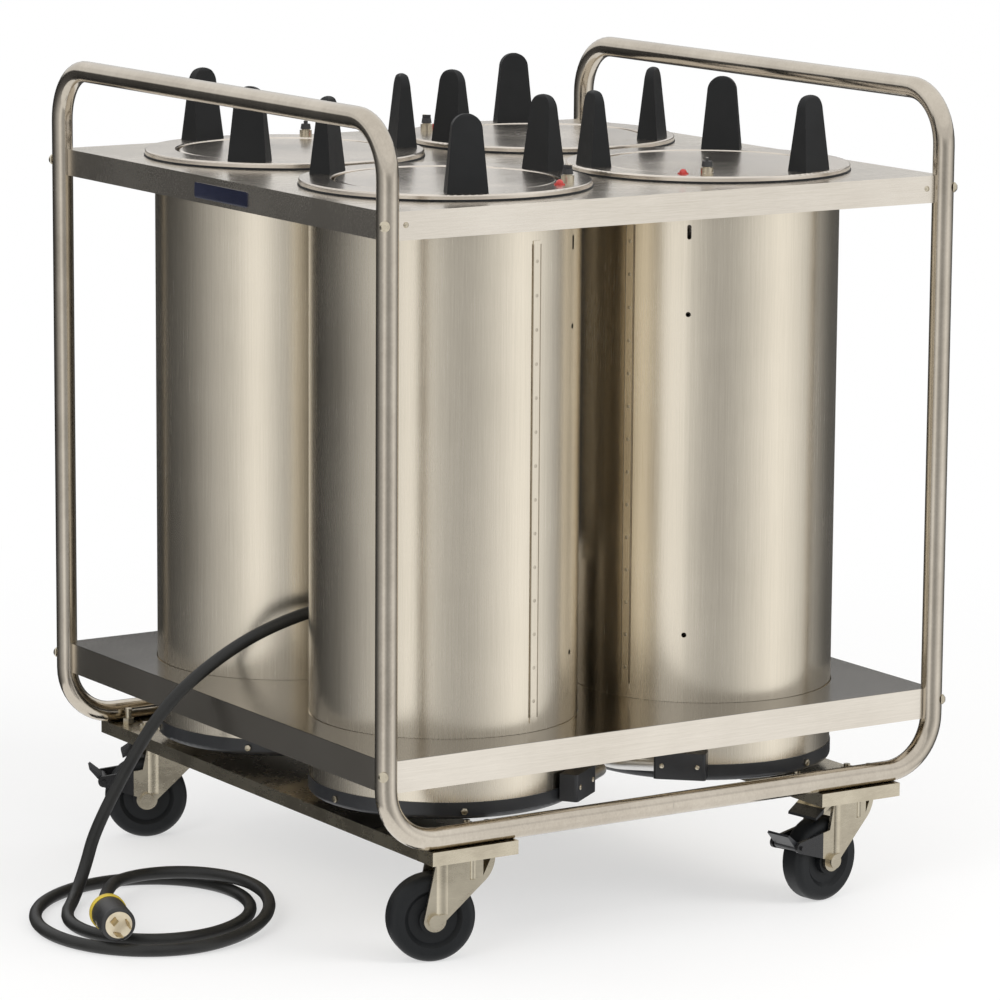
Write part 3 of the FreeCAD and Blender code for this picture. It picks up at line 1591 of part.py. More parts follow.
def check_and_write():
    doc.recompute()
    for thing in doc.Objects:
        if "Invalid" in thing.State or "Error" in thing.State:
            raise RuntimeError(f"{thing.Name} failed: {thing.State}")
    for label, thing in NODES.items():
        if thing.Shape.isNull() or not thing.Shape.isValid():
            raise RuntimeError(f"{label} has no valid shape")
    os.makedirs("parts", exist_ok=True)
    for label, thing in NODES.items():
        thing.Shape.exportStep(f"parts/{label}.step")
    print(len(NODES), "nodes written")


build()
check_and_write()
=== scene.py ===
import math
import bmesh
import bpy
from mathutils import Matrix, Vector


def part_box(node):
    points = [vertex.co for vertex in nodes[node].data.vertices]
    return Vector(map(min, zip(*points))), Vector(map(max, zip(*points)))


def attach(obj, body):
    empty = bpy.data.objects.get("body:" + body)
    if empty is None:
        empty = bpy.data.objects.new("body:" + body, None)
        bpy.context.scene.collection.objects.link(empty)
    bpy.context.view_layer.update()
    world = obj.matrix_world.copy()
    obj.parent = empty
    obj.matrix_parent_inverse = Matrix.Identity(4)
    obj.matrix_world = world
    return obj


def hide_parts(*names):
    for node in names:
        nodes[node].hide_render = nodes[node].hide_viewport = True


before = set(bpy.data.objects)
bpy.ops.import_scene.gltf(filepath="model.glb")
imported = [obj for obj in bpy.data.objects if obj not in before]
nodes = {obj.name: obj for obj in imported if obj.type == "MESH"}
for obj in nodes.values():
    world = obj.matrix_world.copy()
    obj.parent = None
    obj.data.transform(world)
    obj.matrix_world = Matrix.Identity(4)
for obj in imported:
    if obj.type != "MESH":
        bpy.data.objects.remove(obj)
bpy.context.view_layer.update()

scene = bpy.context.scene
corners = {"front_left": (-1, -1), "front_right": (1, -1),
           "back_left": (-1, 1), "back_right": (1, 1)}
unit = {  # the dispenser units, in metres and degrees
    "pitch": 0.183, "deckTop": 0.865, "flangeRadius": 0.1685, "jacketTurn": 4,
    "turn": {"front_left": 302, "front_right": 223.5, "back_left": 38.5, "back_right": 125},
}


# Camera, set to the photographed view
photoCamera = {"turn": 32.697, "pitch": 10.164, "roll": 0.4, "lens": 174.23, "sensor": 36,
               "farthest": 60, "place": (-3.10616, -4.85682, 1.48733)}


def makeCamera():
    lens = bpy.data.cameras.new("photoCamera")
    lens.sensor_width = photoCamera["sensor"]
    lens.lens = photoCamera["lens"]
    lens.clip_end = photoCamera["farthest"]
    camera = bpy.data.objects.new("photoCamera", lens)
    scene.collection.objects.link(camera)
    turn = Matrix.Rotation(math.radians(-photoCamera["turn"]), 4, "Z")
    tilt = Matrix.Rotation(math.radians(90 - photoCamera["pitch"]), 4, "X")
    roll = Matrix.Rotation(math.radians(photoCamera["roll"]), 4, "Z")
    camera.matrix_world = Matrix.Translation(photoCamera["place"]) @ turn @ tilt @ roll
    scene.camera = camera


makeCamera()
print("camera set")


# Small helpers for materials
mixSockets = {"mask": 0, "first": 6, "second": 7, "result": 2}  # colour sockets of a mix node


def newMaterial(name):
    material = bpy.data.materials.new(name)
    material.use_nodes = True
    tree = material.node_tree
    return material, tree, tree.nodes["Principled BSDF"]


def addNode(tree, kind, **settings):
    node = tree.nodes.new(kind)
    for key, value in settings.items():
        if key in node.inputs:
            node.inputs[key].default_value = value
        else:
            setattr(node, key, value)
    return node


def feed(tree, socket, source):  # the source is another node's output or a plain value
    if hasattr(source, "node"):
        tree.links.new(source, socket)
    else:
        socket.default_value = source


def reckon(tree, operation, *terms, kind="ShaderNodeMath", result=0):
    node = addNode(tree, kind, operation=operation)
    for socket, term in zip(node.inputs, terms):
        feed(tree, socket, term)
    return node.outputs[result]


def reckonVector(tree, operation, *terms, result=0):
    return reckon(tree, operation, *terms, kind="ShaderNodeVectorMath", result=result)


def remap(tree, value, ends=(0, 1), goals=(0, 1), curve="LINEAR"):
    scale = addNode(tree, "ShaderNodeMapRange", interpolation_type=curve)
    for label, number in zip(("From Min", "From Max", "To Min", "To Max"), (*ends, *goals)):
        scale.inputs[label].default_value = number
    feed(tree, scale.inputs["Value"], value)
    return scale.outputs["Result"]


def mixColour(tree, mask, first, second):
    mix = addNode(tree, "ShaderNodeMix", data_type="RGBA")
    feed(tree, mix.inputs[mixSockets["mask"]], mask)
    for end, colour in (("first", first), ("second", second)):
        source = colour if hasattr(colour, "node") else (*colour, 1)
        feed(tree, mix.inputs[mixSockets[end]], source)
    return mix.outputs[mixSockets["result"]]


def mixShaders(tree, mask, first, second):
    mix = addNode(tree, "ShaderNodeMixShader")
    for socket, source in zip(mix.inputs, (mask, first.outputs[0], second.outputs[0])):
        feed(tree, socket, source)
    return mix.outputs[0]


def objectPlace(tree):
    return addNode(tree, "ShaderNodeTexCoord").outputs["Object"]


def splitPlace(tree, where):
    split = addNode(tree, "ShaderNodeSeparateXYZ")
    feed(tree, split.inputs[0], where)
    return split.outputs


# Shared effects: brushed grain, soft handling marks and moulded grain
valueSocket, vectorSocket = "NodeSocketFloat", "NodeSocketVector"
brush = {"coarse": {"Scale": 1.0, "Detail": 3.0, "Roughness": 0.6},
         "fine": {"Scale": 4.3, "Detail": 2.0, "Roughness": 0.7}, "span": (0.6, 1.4)}
handling = {"noise": {"Detail": 4.0, "Roughness": 0.55}, "span": (0.32, 0.68)}
mould = {"noise": {"Detail": 3.0}}


def newGroup(name, inputs, outputs):
    group = bpy.data.node_groups.new(name, "ShaderNodeTree")
    for way, sockets in (("INPUT", inputs), ("OUTPUT", outputs)):
        for label, kind in sockets.items():
            group.interface.new_socket(label, in_out=way, socket_type=kind)
    return group, group.nodes.new("NodeGroupInput"), group.nodes.new("NodeGroupOutput")


def makeBrushGrain():
    group, ins, outs = newGroup("brushGrain", {"Vector": vectorSocket, "Stretch": vectorSocket},
                                {"Grain": valueSocket, "Height": valueSocket})
    pull = reckonVector(group, "MULTIPLY", ins.outputs["Vector"], ins.outputs["Stretch"])
    coarse = addNode(group, "ShaderNodeTexNoise", **brush["coarse"])
    fine = addNode(group, "ShaderNodeTexNoise", **brush["fine"])
    for noise in (coarse, fine):
        feed(group, noise.inputs["Vector"], pull)
    both = reckon(group, "ADD", coarse.outputs["Fac"], fine.outputs["Fac"])
    feed(group, outs.inputs["Grain"], remap(group, both, brush["span"]))
    feed(group, outs.inputs["Height"], fine.outputs["Fac"])
    return group


def makeHandMarks():
    group, ins, outs = newGroup("handMarks", {"Vector": vectorSocket, "Scale": valueSocket},
                                {"Marks": valueSocket})
    broad = addNode(group, "ShaderNodeTexNoise", **handling["noise"])
    for label in ("Vector", "Scale"):
        feed(group, broad.inputs[label], ins.outputs[label])
    feed(group, outs.inputs["Marks"], remap(group, broad.outputs["Fac"], handling["span"]))
    return group


def makeMouldGrain():
    group, ins, outs = newGroup("mouldGrain", {"Vector": vectorSocket, "Scale": valueSocket},
                                {"Height": valueSocket, "Tone": valueSocket})
    cells = addNode(group, "ShaderNodeTexVoronoi")
    speck = addNode(group, "ShaderNodeTexNoise", **mould["noise"])
    for node in (cells, speck):
        for label in ("Vector", "Scale"):
            feed(group, node.inputs[label], ins.outputs[label])
    feed(group, outs.inputs["Height"], cells.outputs["Distance"])
    feed(group, outs.inputs["Tone"], speck.outputs["Fac"])
    return group


brushGrain = makeBrushGrain()
handMarks = makeHandMarks()
mouldGrain = makeMouldGrain()


def placeGroup(tree, group, where, **values):
    node = addNode(tree, "ShaderNodeGroup", node_tree=group)
    feed(tree, node.inputs["Vector"], where)
    for key, value in values.items():
        node.inputs[key].default_value = value
    return node


# Finishes: the tone of the grain and the marks sets the colour and the gloss
relief = {"metal": 0.0004, "skin": 0.0005}  # depth of the fine relief, in metres
plainShine, coatRoughness = 0.5, 0.2


def addRelief(tree, shader, height, strength, depth):
    bump = addNode(tree, "ShaderNodeBump", Strength=strength, Distance=depth)
    feed(tree, bump.inputs["Height"], height)
    feed(tree, shader.inputs["Normal"], bump.outputs["Normal"])


def roundUnit(tree, where):  # rings of grain round each unit's own middle
    fold = reckonVector(tree, "ABSOLUTE", where)
    shift = reckonVector(tree, "SUBTRACT", fold, (unit["pitch"], unit["pitch"], 0))
    flat = reckonVector(tree, "MULTIPLY", shift, (1, 1, 0))
    ring = addNode(tree, "ShaderNodeCombineXYZ")
    feed(tree, ring.inputs["X"], reckonVector(tree, "LENGTH", flat, result="Value"))
    feed(tree, ring.inputs["Z"], splitPlace(tree, where)["Z"])
    return ring.outputs[0]


def metalFinish(name, finish):
    material, tree, shader = newMaterial(name)
    where = objectPlace(tree)
    grainPlace = roundUnit(tree, where) if finish.get("rings") else where
    grain = placeGroup(tree, brushGrain, grainPlace, Stretch=finish["stretch"])
    marks = placeGroup(tree, handMarks, where, Scale=finish["markScale"])
    quiet = reckon(tree, "MULTIPLY", marks.outputs["Marks"], 1 - finish["grainShare"])
    tone = reckon(tree, "MULTIPLY_ADD", grain.outputs["Grain"], finish["grainShare"], quiet)
    colour = mixColour(tree, tone, finish["dark"], finish["light"])
    if "paintedShadeAbove" in finish:  # painted shade: the upper face of the sheet is darkened against its edges, for the shade that falls between the units
        over = reckon(tree, "GREATER_THAN", splitPlace(tree, where)["Z"], finish["paintedShadeAbove"])
        paintedShade = [[part * finish["paintedShadeTone"] for part in finish[end]] for end in ("dark", "light")]
        colour = mixColour(tree, over, colour, mixColour(tree, tone, *paintedShade))
    feed(tree, shader.inputs["Base Color"], colour)
    feed(tree, shader.inputs["Roughness"], remap(tree, tone, goals=finish["roughness"]))
    addRelief(tree, shader, grain.outputs["Height"], finish["bump"], relief["metal"])
    shader.inputs["Metallic"].default_value = 1
    return material


def mouldedFinish(name, finish):  # moulded or painted, with a fine skin
    material, tree, shader = newMaterial(name)
    where = objectPlace(tree)
    skin = placeGroup(tree, mouldGrain, where, Scale=finish["skinScale"])
    marks = placeGroup(tree, handMarks, where, Scale=finish["markScale"])
    both = reckon(tree, "ADD", skin.outputs["Tone"], marks.outputs["Marks"])
    half = reckon(tree, "MULTIPLY", both, 0.5)
    feed(tree, shader.inputs["Base Color"], mixColour(tree, half, finish["dark"], finish["light"]))
    gloss = remap(tree, marks.outputs["Marks"], goals=finish["roughness"])
    feed(tree, shader.inputs["Roughness"], gloss)
    addRelief(tree, shader, skin.outputs["Height"], finish["bump"], relief["skin"])
    shader.inputs["Specular IOR Level"].default_value = finish.get("shine", plainShine)
    shader.inputs["Coat Weight"].default_value = finish.get("coat", 0)
    shader.inputs["Coat Roughness"].default_value = coatRoughness
    return material


metals = {
    "polishedTube": {
        "dark": (0.46, 0.41, 0.34), "light": (0.66, 0.60, 0.51), "stretch": (90, 90, 60),
        "markScale": 9, "grainShare": 0.4, "roughness": (0.12, 0.2), "bump": 0.03},
    "satinSheet": {
        "dark": (0.60, 0.55, 0.475), "light": (0.82, 0.765, 0.68), "stretch": (14, 700, 700),
        "markScale": 6, "grainShare": 0.55, "roughness": (0.2, 0.32), "bump": 0.10},
    "lowerSheet": {
        "dark": (0.60, 0.55, 0.475), "light": (0.82, 0.765, 0.68), "stretch": (14, 700, 700),
        "markScale": 5, "grainShare": 0.45, "roughness": (0.12, 0.22), "bump": 0.06,
        # painted shade on the lower deck's top face above this height, and its darkening factor
        "paintedShadeAbove": 0.2504, "paintedShadeTone": 0.32},
    "brushedJacket": {
        "dark": (0.70, 0.635, 0.52), "light": (0.86, 0.785, 0.655), "stretch": (620, 620, 7),
        "markScale": 5, "grainShare": 0.6, "roughness": (0.2, 0.3), "bump": 0.045},
    "polishedFlange": {
        "dark": (0.62, 0.565, 0.50), "light": (0.84, 0.775, 0.69), "stretch": (900, 1, 300),
        "markScale": 8, "grainShare": 0.5, "roughness": (0.16, 0.30), "bump": 0.06, "rings": True},
    "zincPlate": {
        "dark": (0.44, 0.39, 0.30), "light": (0.70, 0.635, 0.50), "stretch": (60, 60, 240),
        "markScale": 16, "grainShare": 0.35, "roughness": (0.2, 0.34), "bump": 0.03},
    # painted shade: dark tone of the strips along the jacket seam edges
    "seamShadeTint": {
        "dark": (0.28, 0.235, 0.175), "light": (0.48, 0.415, 0.32), "stretch": (300, 300, 120),
        "markScale": 60, "grainShare": 0.5, "roughness": (0.35, 0.5), "bump": 0.1},
    "spotTint": {
        "dark": (0.50, 0.45, 0.365), "light": (0.68, 0.615, 0.505), "stretch": (300, 300, 120),
        "markScale": 60, "grainShare": 0.5, "roughness": (0.3, 0.45), "bump": 0.08},
    "darkSteel": {
        "dark": (0.05, 0.045, 0.04), "light": (0.16, 0.14, 0.12), "stretch": (200, 200, 200),
        "markScale": 30, "grainShare": 0.5, "roughness": (0.45, 0.65), "bump": 0.1},
    "aluminiumTube": {
        "dark": (0.55, 0.54, 0.52), "light": (0.76, 0.75, 0.73), "stretch": (90, 240, 240),
        "markScale": 25, "grainShare": 0.5, "roughness": (0.28, 0.42), "bump": 0.05},
    "brassBlade": {
        "dark": (0.42, 0.31, 0.15), "light": (0.70, 0.55, 0.30), "stretch": (300, 300, 300),
        "markScale": 60, "grainShare": 0.5, "roughness": (0.25, 0.4), "bump": 0.05},
}
skins = {
    "blackPaint": {
        "dark": (0.012, 0.013, 0.015), "light": (0.030, 0.031, 0.034), "skinScale": 900,
        "markScale": 14, "roughness": (0.28, 0.42), "bump": 0.08, "coat": 0.15},
    "guidePlastic": {
        "dark": (0.007, 0.0075, 0.008), "light": (0.015, 0.0155, 0.016), "skinScale": 1400,
        "markScale": 30, "roughness": (0.45, 0.6), "bump": 0.12, "shine": 0.25},
    "blackPlastic": {
        "dark": (0.014, 0.014, 0.015), "light": (0.034, 0.034, 0.034), "skinScale": 1200,
        "markScale": 40, "roughness": (0.35, 0.5), "bump": 0.1},
    "ivoryPlastic": {
        "dark": (0.55, 0.47, 0.33), "light": (0.74, 0.67, 0.52), "skinScale": 900,
        "markScale": 50, "roughness": (0.3, 0.45), "bump": 0.05},
    "yellowPlastic": {
        "dark": (0.50, 0.36, 0.03), "light": (0.72, 0.55, 0.06), "skinScale": 1200,
        "markScale": 60, "roughness": (0.35, 0.5), "bump": 0.06},
    "cordRubber": {
        "dark": (0.008, 0.008, 0.008), "light": (0.024, 0.024, 0.022), "skinScale": 700,
        "markScale": 22, "roughness": (0.36, 0.52), "bump": 0.15, "shine": 0.4},
    "wheelRubber": {
        "dark": (0.004, 0.005, 0.006), "light": (0.011, 0.012, 0.013), "skinScale": 800,
        "markScale": 26, "roughness": (0.42, 0.58), "bump": 0.14, "shine": 0.3},
    "bluePlate": {
        "dark": (0.005, 0.007, 0.020), "light": (0.010, 0.013, 0.036), "skinScale": 1500,
        "markScale": 45, "roughness": (0.25, 0.4), "bump": 0.04, "coat": 0.3},
    "redLens": {
        "dark": (0.30, 0.010, 0.008), "light": (0.55, 0.030, 0.020), "skinScale": 500,
        "markScale": 120, "roughness": (0.08, 0.2), "bump": 0.02, "coat": 0.8},
}
made = {label: metalFinish(label, finish) for label, finish in metals.items()}
made.update({label: mouldedFinish(label, finish) for label, finish in skins.items()})
print("finishes made")


# Cord: the same line as the solid, from the gland down to the floor, round the loops and into
# the plug
cord = {
    "diameter": 0.015, "exit": (-0.092, 0, 0.35), "length": 2.45, "landingRun": 0.03,
    "route": [(-0.151, 0.001, 0.351), (-0.214, 0.002, 0.348), (-0.275, 0.002, 0.338),
              (-0.33, 0.006, 0.32), (-0.369, 0.026, 0.291), (-0.403, 0.049, 0.255),
              (-0.43, 0.07, 0.213), (-0.453, 0.086, 0.164), (-0.475, 0.098, 0.116),
              (-0.491, 0.107, 0.075), (-0.498, 0.11, 0.046), (-0.512, 0.103, 0.021)],
    "centre": (-0.474, -0.005), "lean": 57.3, "stretch": 1.2, "startAngle": 90,
    "startRadius": 0.098, "rateOut": 0.038, "rateIn": -0.185, "turnsOut": 1.3, "turnsBack": 0.3,
    "turns": 1.875, "layerGap": 0.001, "pointsPerTurn": 20, "leadTurn": 0.001,
    "plug": (-0.566, -0.062, 0.037), "plugHeading": 254,
    "order": 3, "steps": 8, "roundSteps": 5,
}


def coilPoint(turns):
    past = min(max(turns - cord["turnsOut"], 0), cord["turnsBack"])
    radius = cord["startRadius"] + cord["rateOut"] * (min(turns, cord["turnsOut"]) + past)
    radius += (cord["rateIn"] - cord["rateOut"]) * past ** 2 / (2 * cord["turnsBack"])
    radius += cord["rateIn"] * max(turns - cord["turnsOut"] - cord["turnsBack"], 0)
    climb = past / cord["turnsBack"]
    layer = cord["diameter"] + cord["layerGap"]
    level = cord["diameter"] / 2 + layer * climb ** 2 * (3 - 2 * climb)  # eased at both ends
    angle, lean = math.radians(cord["startAngle"] + 360 * turns), math.radians(cord["lean"])
    u, v = radius * cord["stretch"] * math.cos(angle), radius * math.sin(angle)
    x = cord["centre"][0] + u * math.cos(lean) - v * math.sin(lean)
    y = cord["centre"][1] + u * math.sin(lean) + v * math.cos(lean)
    return Vector((x, y, level))


def makeCord():
    lead = (coilPoint(cord["leadTurn"]) - coilPoint(0)).normalized()
    landing = coilPoint(0) - lead * cord["diameter"]
    heading = math.radians(cord["plugHeading"])
    aim = Vector((math.cos(heading), math.sin(heading), 0))
    entry = Vector(cord["plug"])
    points = [Vector(cord["exit"])] + [Vector(point) for point in cord["route"]]
    points += [landing - lead * cord["landingRun"], landing]
    count = round(cord["turns"] * cord["pointsPerTurn"])
    points += [coilPoint(cord["turns"] * number / count) for number in range(count + 1)]
    points += [entry - aim * cord["diameter"], entry]
    curve = bpy.data.curves.new("powerCord", "CURVE")
    curve.dimensions = "3D"
    spline = curve.splines.new("NURBS")
    spline.points.add(len(points) - 1)
    for point, place in zip(spline.points, points):
        point.co = (*place, 1)
    spline.order_u = cord["order"]
    spline.use_endpoint_u = True
    spline.resolution_u = cord["steps"]
    curve.bevel_depth = cord["diameter"] / 2
    curve.bevel_resolution = cord["roundSteps"]
    curve.use_fill_caps = True
    piece = bpy.data.objects.new("powerCord", curve)
    scene.collection.objects.link(piece)
    curve.materials.append(made["cordRubber"])
    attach(piece, "cart")
    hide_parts("power_cord", "cord_coil")
    return piece, entry, aim


powerCord, plugEntry, plugAim = makeCord()
print("cord laid")


# Mesh helpers
mending = {"weldGap": 0.000002, "sharpAngle": 35}
dome = {"profile": [(0, 1), (0.4, 0.93), (0.75, 0.68), (0.94, 0.34), (1, 0), (0, 0)],
        "steps": 16}  # shares of a head's radius and height
hexagon = {"sides": 6, "ease": 0.1, "easeSteps": 2}


def placeMesh(name, shape, material):
    mesh = bpy.data.meshes.new(name)
    shape.to_mesh(mesh)
    shape.free()
    mesh.materials.append(material)
    piece = bpy.data.objects.new(name, mesh)
    scene.collection.objects.link(piece)
    return piece


def finishPiece(name, shape, label, body):
    bmesh.ops.remove_doubles(shape, verts=shape.verts, dist=mending["weldGap"])
    bmesh.ops.recalc_face_normals(shape, faces=shape.faces)
    piece = placeMesh(name, shape, made[label])
    piece.data.shade_smooth()
    piece.data.set_sharp_from_angle(angle=math.radians(mending["sharpAngle"]))
    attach(piece, body)
    return piece


def facing(place, normal):
    turn = Vector((0, 0, 1)).rotation_difference(Vector(normal)).to_matrix().to_4x4()
    return Matrix.Translation(place) @ turn


def standing(place, out):
    return Matrix.Translation(place) @ Matrix.Rotation(math.atan2(out.y, out.x), 4, "Z")


def turned(shape, profile, place, steps):
    line = [shape.verts.new(place @ Vector((radius, 0, height))) for radius, height in profile]
    edges = [shape.edges.new(pair) for pair in zip(line, line[1:])]
    bmesh.ops.spin(shape, geom=line + edges, axis=place.col[2].xyz, cent=place.translation,
                   angle=math.tau, steps=steps, use_merge=True)


def easeEdges(shape, edges, width, steps):
    bmesh.ops.bevel(shape, geom=edges, offset=width, affect="EDGES", segments=steps, profile=0.5,
                    material=-1)


def domeHead(shape, place, radius, height):
    profile = [(radius * across, height * up) for across, up in dome["profile"]]
    turned(shape, profile, place, dome["steps"])


def hexHead(shape, place, radius, height):
    middle = place @ Matrix.Translation((0, 0, height / 2))
    prism = bmesh.ops.create_cone(shape, cap_ends=True, segments=hexagon["sides"], radius1=radius,
                                  radius2=radius, depth=height, matrix=middle)
    rim = dict.fromkeys(edge for vert in prism["verts"] for edge in vert.link_edges)
    easeEdges(shape, list(rim), radius * hexagon["ease"], hexagon["easeSteps"])


def unitPlace(corner, angle, radius, height):
    side, end = corners[corner]
    lead = math.radians(unit["turn"][corner] + angle)
    out = Vector((math.cos(lead), math.sin(lead), 0))
    return Vector((side * unit["pitch"], end * unit["pitch"], height)) + out * radius, out


# Plug: yellow band round the ring of the body, and two clamp screws
plugTrim = {"tail": 0.016, "ring": 0.007, "ringRadius": 0.021, "bodyRadius": 0.02,
            "neckRadius": 0.0112, "proud": 0.0006, "lap": 0.0004, "past": 0.0012, "ease": 0.0012,
            "seat": 0.0001, "steps": 64}
clampScrew = {"along": 0.045, "sink": 0.0004, "radius": 0.0034, "rise": 0.0014}


def makePlugTrim():
    stand = facing(plugEntry, plugAim)
    low = plugTrim["tail"] - plugTrim["lap"]
    high = plugTrim["tail"] + plugTrim["ring"] + plugTrim["past"]
    inner = plugTrim["bodyRadius"] + plugTrim["seat"]
    outer = plugTrim["ringRadius"] + plugTrim["proud"]
    ease = plugTrim["ease"]
    profile = [(plugTrim["neckRadius"], low), (outer - ease, low), (outer, low + ease),
               (outer, high - ease), (outer - ease, high), (inner, high)]
    shape = bmesh.new()
    turned(shape, profile, stand, plugTrim["steps"])
    band = finishPiece("plugBand", shape, "yellowPlastic", "cart")
    shape = bmesh.new()
    reach = plugTrim["bodyRadius"] - clampScrew["sink"]
    for side in (-1, 1):
        normal = (stand.to_3x3() @ Vector((side, 0, 0))).normalized()
        place = stand @ Vector((side * reach, 0, clampScrew["along"]))
        domeHead(shape, facing(place, normal), clampScrew["radius"], clampScrew["rise"])
    screws = finishPiece("plugScrews", shape, "zincPlate", "cart")
    return band, screws


plugBand, plugScrews = makePlugTrim()


# Blank plate on the left edge of the top deck, its face sunk inside a rim
plate = {"x": -0.381, "y": (-0.0745, 0.049), "z": (0.8385, 0.8565), "sheet": 0.0012,
         "corner": 0.003, "cornerSteps": 4, "rim": 0.0016, "sink": 0.0005, "squareOn": 0.9}


def makePlate():
    shape = bmesh.new()
    width, height = plate["y"][1] - plate["y"][0], plate["z"][1] - plate["z"][0]
    bmesh.ops.create_cube(shape, size=1, matrix=Matrix.Diagonal((plate["sheet"], width, height, 1)))
    across = [edge for edge in shape.edges
              if abs(edge.verts[0].co.x - edge.verts[1].co.x) > plate["sheet"] / 2]
    easeEdges(shape, across, plate["corner"], plate["cornerSteps"])
    front = [face for face in shape.faces if -face.normal.x > plate["squareOn"]]
    bmesh.ops.inset_region(shape, faces=front, thickness=plate["rim"], depth=0)
    sunk = list({vert for face in front for vert in face.verts})
    bmesh.ops.translate(shape, verts=sunk, vec=(plate["sink"], 0, 0))
    middle = (plate["x"] - plate["sheet"] / 2, sum(plate["y"]) / 2, sum(plate["z"]) / 2)
    bmesh.ops.translate(shape, verts=shape.verts, vec=middle)
    finishPiece("blankPlate", shape, "bluePlate", "cart")


makePlate()


# Rivets in the top deck's edges beside the posts
rivet = {"along": 0.3574, "out": 0.381, "height": 0.85, "radius": 0.0034, "rise": 0.0016}


def makeRivets():
    shape = bmesh.new()
    for side, end in corners.values():
        place = (side * rivet["along"], end * rivet["out"], rivet["height"])
        domeHead(shape, facing(place, (0, end, 0)), rivet["radius"], rivet["rise"])
    finishPiece("deckRivets", shape, "zincPlate", "cart")


makeRivets()


# Screws round each base pan, and in the faces of the terminal boxes
panScrew = {"radius": 0.1575, "height": 0.167, "across": 0.0042, "rise": 0.0032,
            "angles": (61, 121, 181, 241, 301)}
terminalScrew = {"reach": 0.1798, "side": 0.021, "height": 0.179, "radius": 0.003, "rise": 0.0014}


def makePanScrews():
    shape = bmesh.new()
    for corner in corners:
        for angle in panScrew["angles"]:
            place, out = unitPlace(corner, angle + unit["jacketTurn"], panScrew["radius"],
                                   panScrew["height"])
            hexHead(shape, facing(place, out), panScrew["across"], panScrew["rise"])
        place, out = unitPlace(corner, unit["jacketTurn"], terminalScrew["reach"],
                               terminalScrew["height"])
        across = Vector((-out.y, out.x, 0))
        for side in (-1, 1):
            stand = facing(place + across * side * terminalScrew["side"], out)
            domeHead(shape, stand, terminalScrew["radius"], terminalScrew["rise"])
    finishPiece("panScrews", shape, "zincPlate", "cart")


makePanScrews()


# Pointer bars on the knobs
knobMark = {"radius": 0.1435, "angle": 11, "length": 0.004, "width": 0.001, "height": 0.0006,
            "out": 0.0026, "lift": 0.0001, "ease": 0.00015, "easeSteps": 2}


def makeKnobMarks():
    size = Matrix.Diagonal((knobMark["length"], knobMark["width"], knobMark["height"], 1))
    shift = Matrix.Translation((knobMark["out"], 0, knobMark["lift"]))
    for corner in corners:
        knob = "knob_" + corner
        place, out = unitPlace(corner, knobMark["angle"], knobMark["radius"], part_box(knob)[1].z)
        shape = bmesh.new()
        bmesh.ops.create_cube(shape, size=1, matrix=standing(place, out) @ shift @ size)
        easeEdges(shape, shape.edges[:], knobMark["ease"], knobMark["easeSteps"])
        finishPiece("knobMark_" + corner, shape, "ivoryPlastic", knob)


makeKnobMarks()


# Dark strips along both edges of each jacket seam, painted shade for the crevice shadow at the
# seam's edges, and the row of spot welds between them
seam = {"turn": -27, "radius": 0.1575, "width": 0.011, "foot": 0.268, "head": 0.812,
        "bead": 0.0011, "proud": 0.0003, "easeSteps": 2, "spots": 14, "spotRadius": 0.0022,
        "spotRise": 0.0002}


def makeSeams():
    shadeLines, spots = bmesh.new(), bmesh.new()
    tall = seam["head"] - seam["foot"]
    turn = unit["jacketTurn"] + seam["turn"]
    size = Matrix.Diagonal((2 * seam["proud"], seam["bead"], tall, 1))
    for corner in corners:
        place, out = unitPlace(corner, turn, seam["radius"], (seam["head"] + seam["foot"]) / 2)
        for edge in (-1, 1):
            shift = Matrix.Translation((0, edge * seam["width"] / 2, 0))
            bmesh.ops.create_cube(shadeLines, size=1, matrix=standing(place, out) @ shift @ size)
        for number in range(seam["spots"]):
            height = seam["foot"] + tall * (number + 0.5) / seam["spots"]
            place, out = unitPlace(corner, turn, seam["radius"], height)
            domeHead(spots, facing(place, out), seam["spotRadius"], seam["spotRise"])
    easeEdges(shadeLines, shadeLines.edges[:], seam["proud"] / 2, seam["easeSteps"])
    # the dark strips are painted shade along the seam edges
    finishPiece("seamShadeLines", shadeLines, "seamShadeTint", "cart")
    finishPiece("spotWelds", spots, "spotTint", "cart")


makeSeams()


# Dark rings between the flange rims and the deck, painted shade for the shadow line under each rim
shadeRing = {"width": 0.0009, "height": 0.0022, "shoulder": 0.7, "seat": 0.0001, "ease": 0.0004,
        "steps": 128}


def makeShadeRings():
    shape = bmesh.new()
    inner, outer = unit["flangeRadius"] - shadeRing["seat"], unit["flangeRadius"] + shadeRing["width"]
    top = shadeRing["height"]
    profile = [(inner, 0), (outer, 0), (outer, top * shadeRing["shoulder"]),
               (outer - shadeRing["ease"], top), (inner, top)]
    for side, end in corners.values():
        middle = (side * unit["pitch"], end * unit["pitch"], unit["deckTop"])
        turned(shape, profile, Matrix.Translation(middle), shadeRing["steps"])
    # the black rings are painted shade under the flange rims
    finishPiece("flangeShadeRings", shape, "guidePlastic", "cart")


makeShadeRings()


# Cover screws on the junction box
coverScrew = {"reach": 0.048, "radius": 0.0034, "rise": 0.0016}


def makeCoverScrews():
    shape = bmesh.new()
    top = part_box("junction_box_cover")[1].z
    for side, end in corners.values():
        place = (side * coverScrew["reach"], end * coverScrew["reach"], top)
        domeHead(shape, facing(place, (0, 0, 1)), coverScrew["radius"], coverScrew["rise"])
    finishPiece("coverScrews", shape, "zincPlate", "cart")


makeCoverScrews()


# Ground weld where the two frame tubes meet under the cart
tubeWeld = {"radius": 0.0127, "bead": 0.00012, "sink": 0.0003, "width": 0.0026, "crown": 0.4,
            "out": 0.381, "height": 0.1557, "steps": 48}


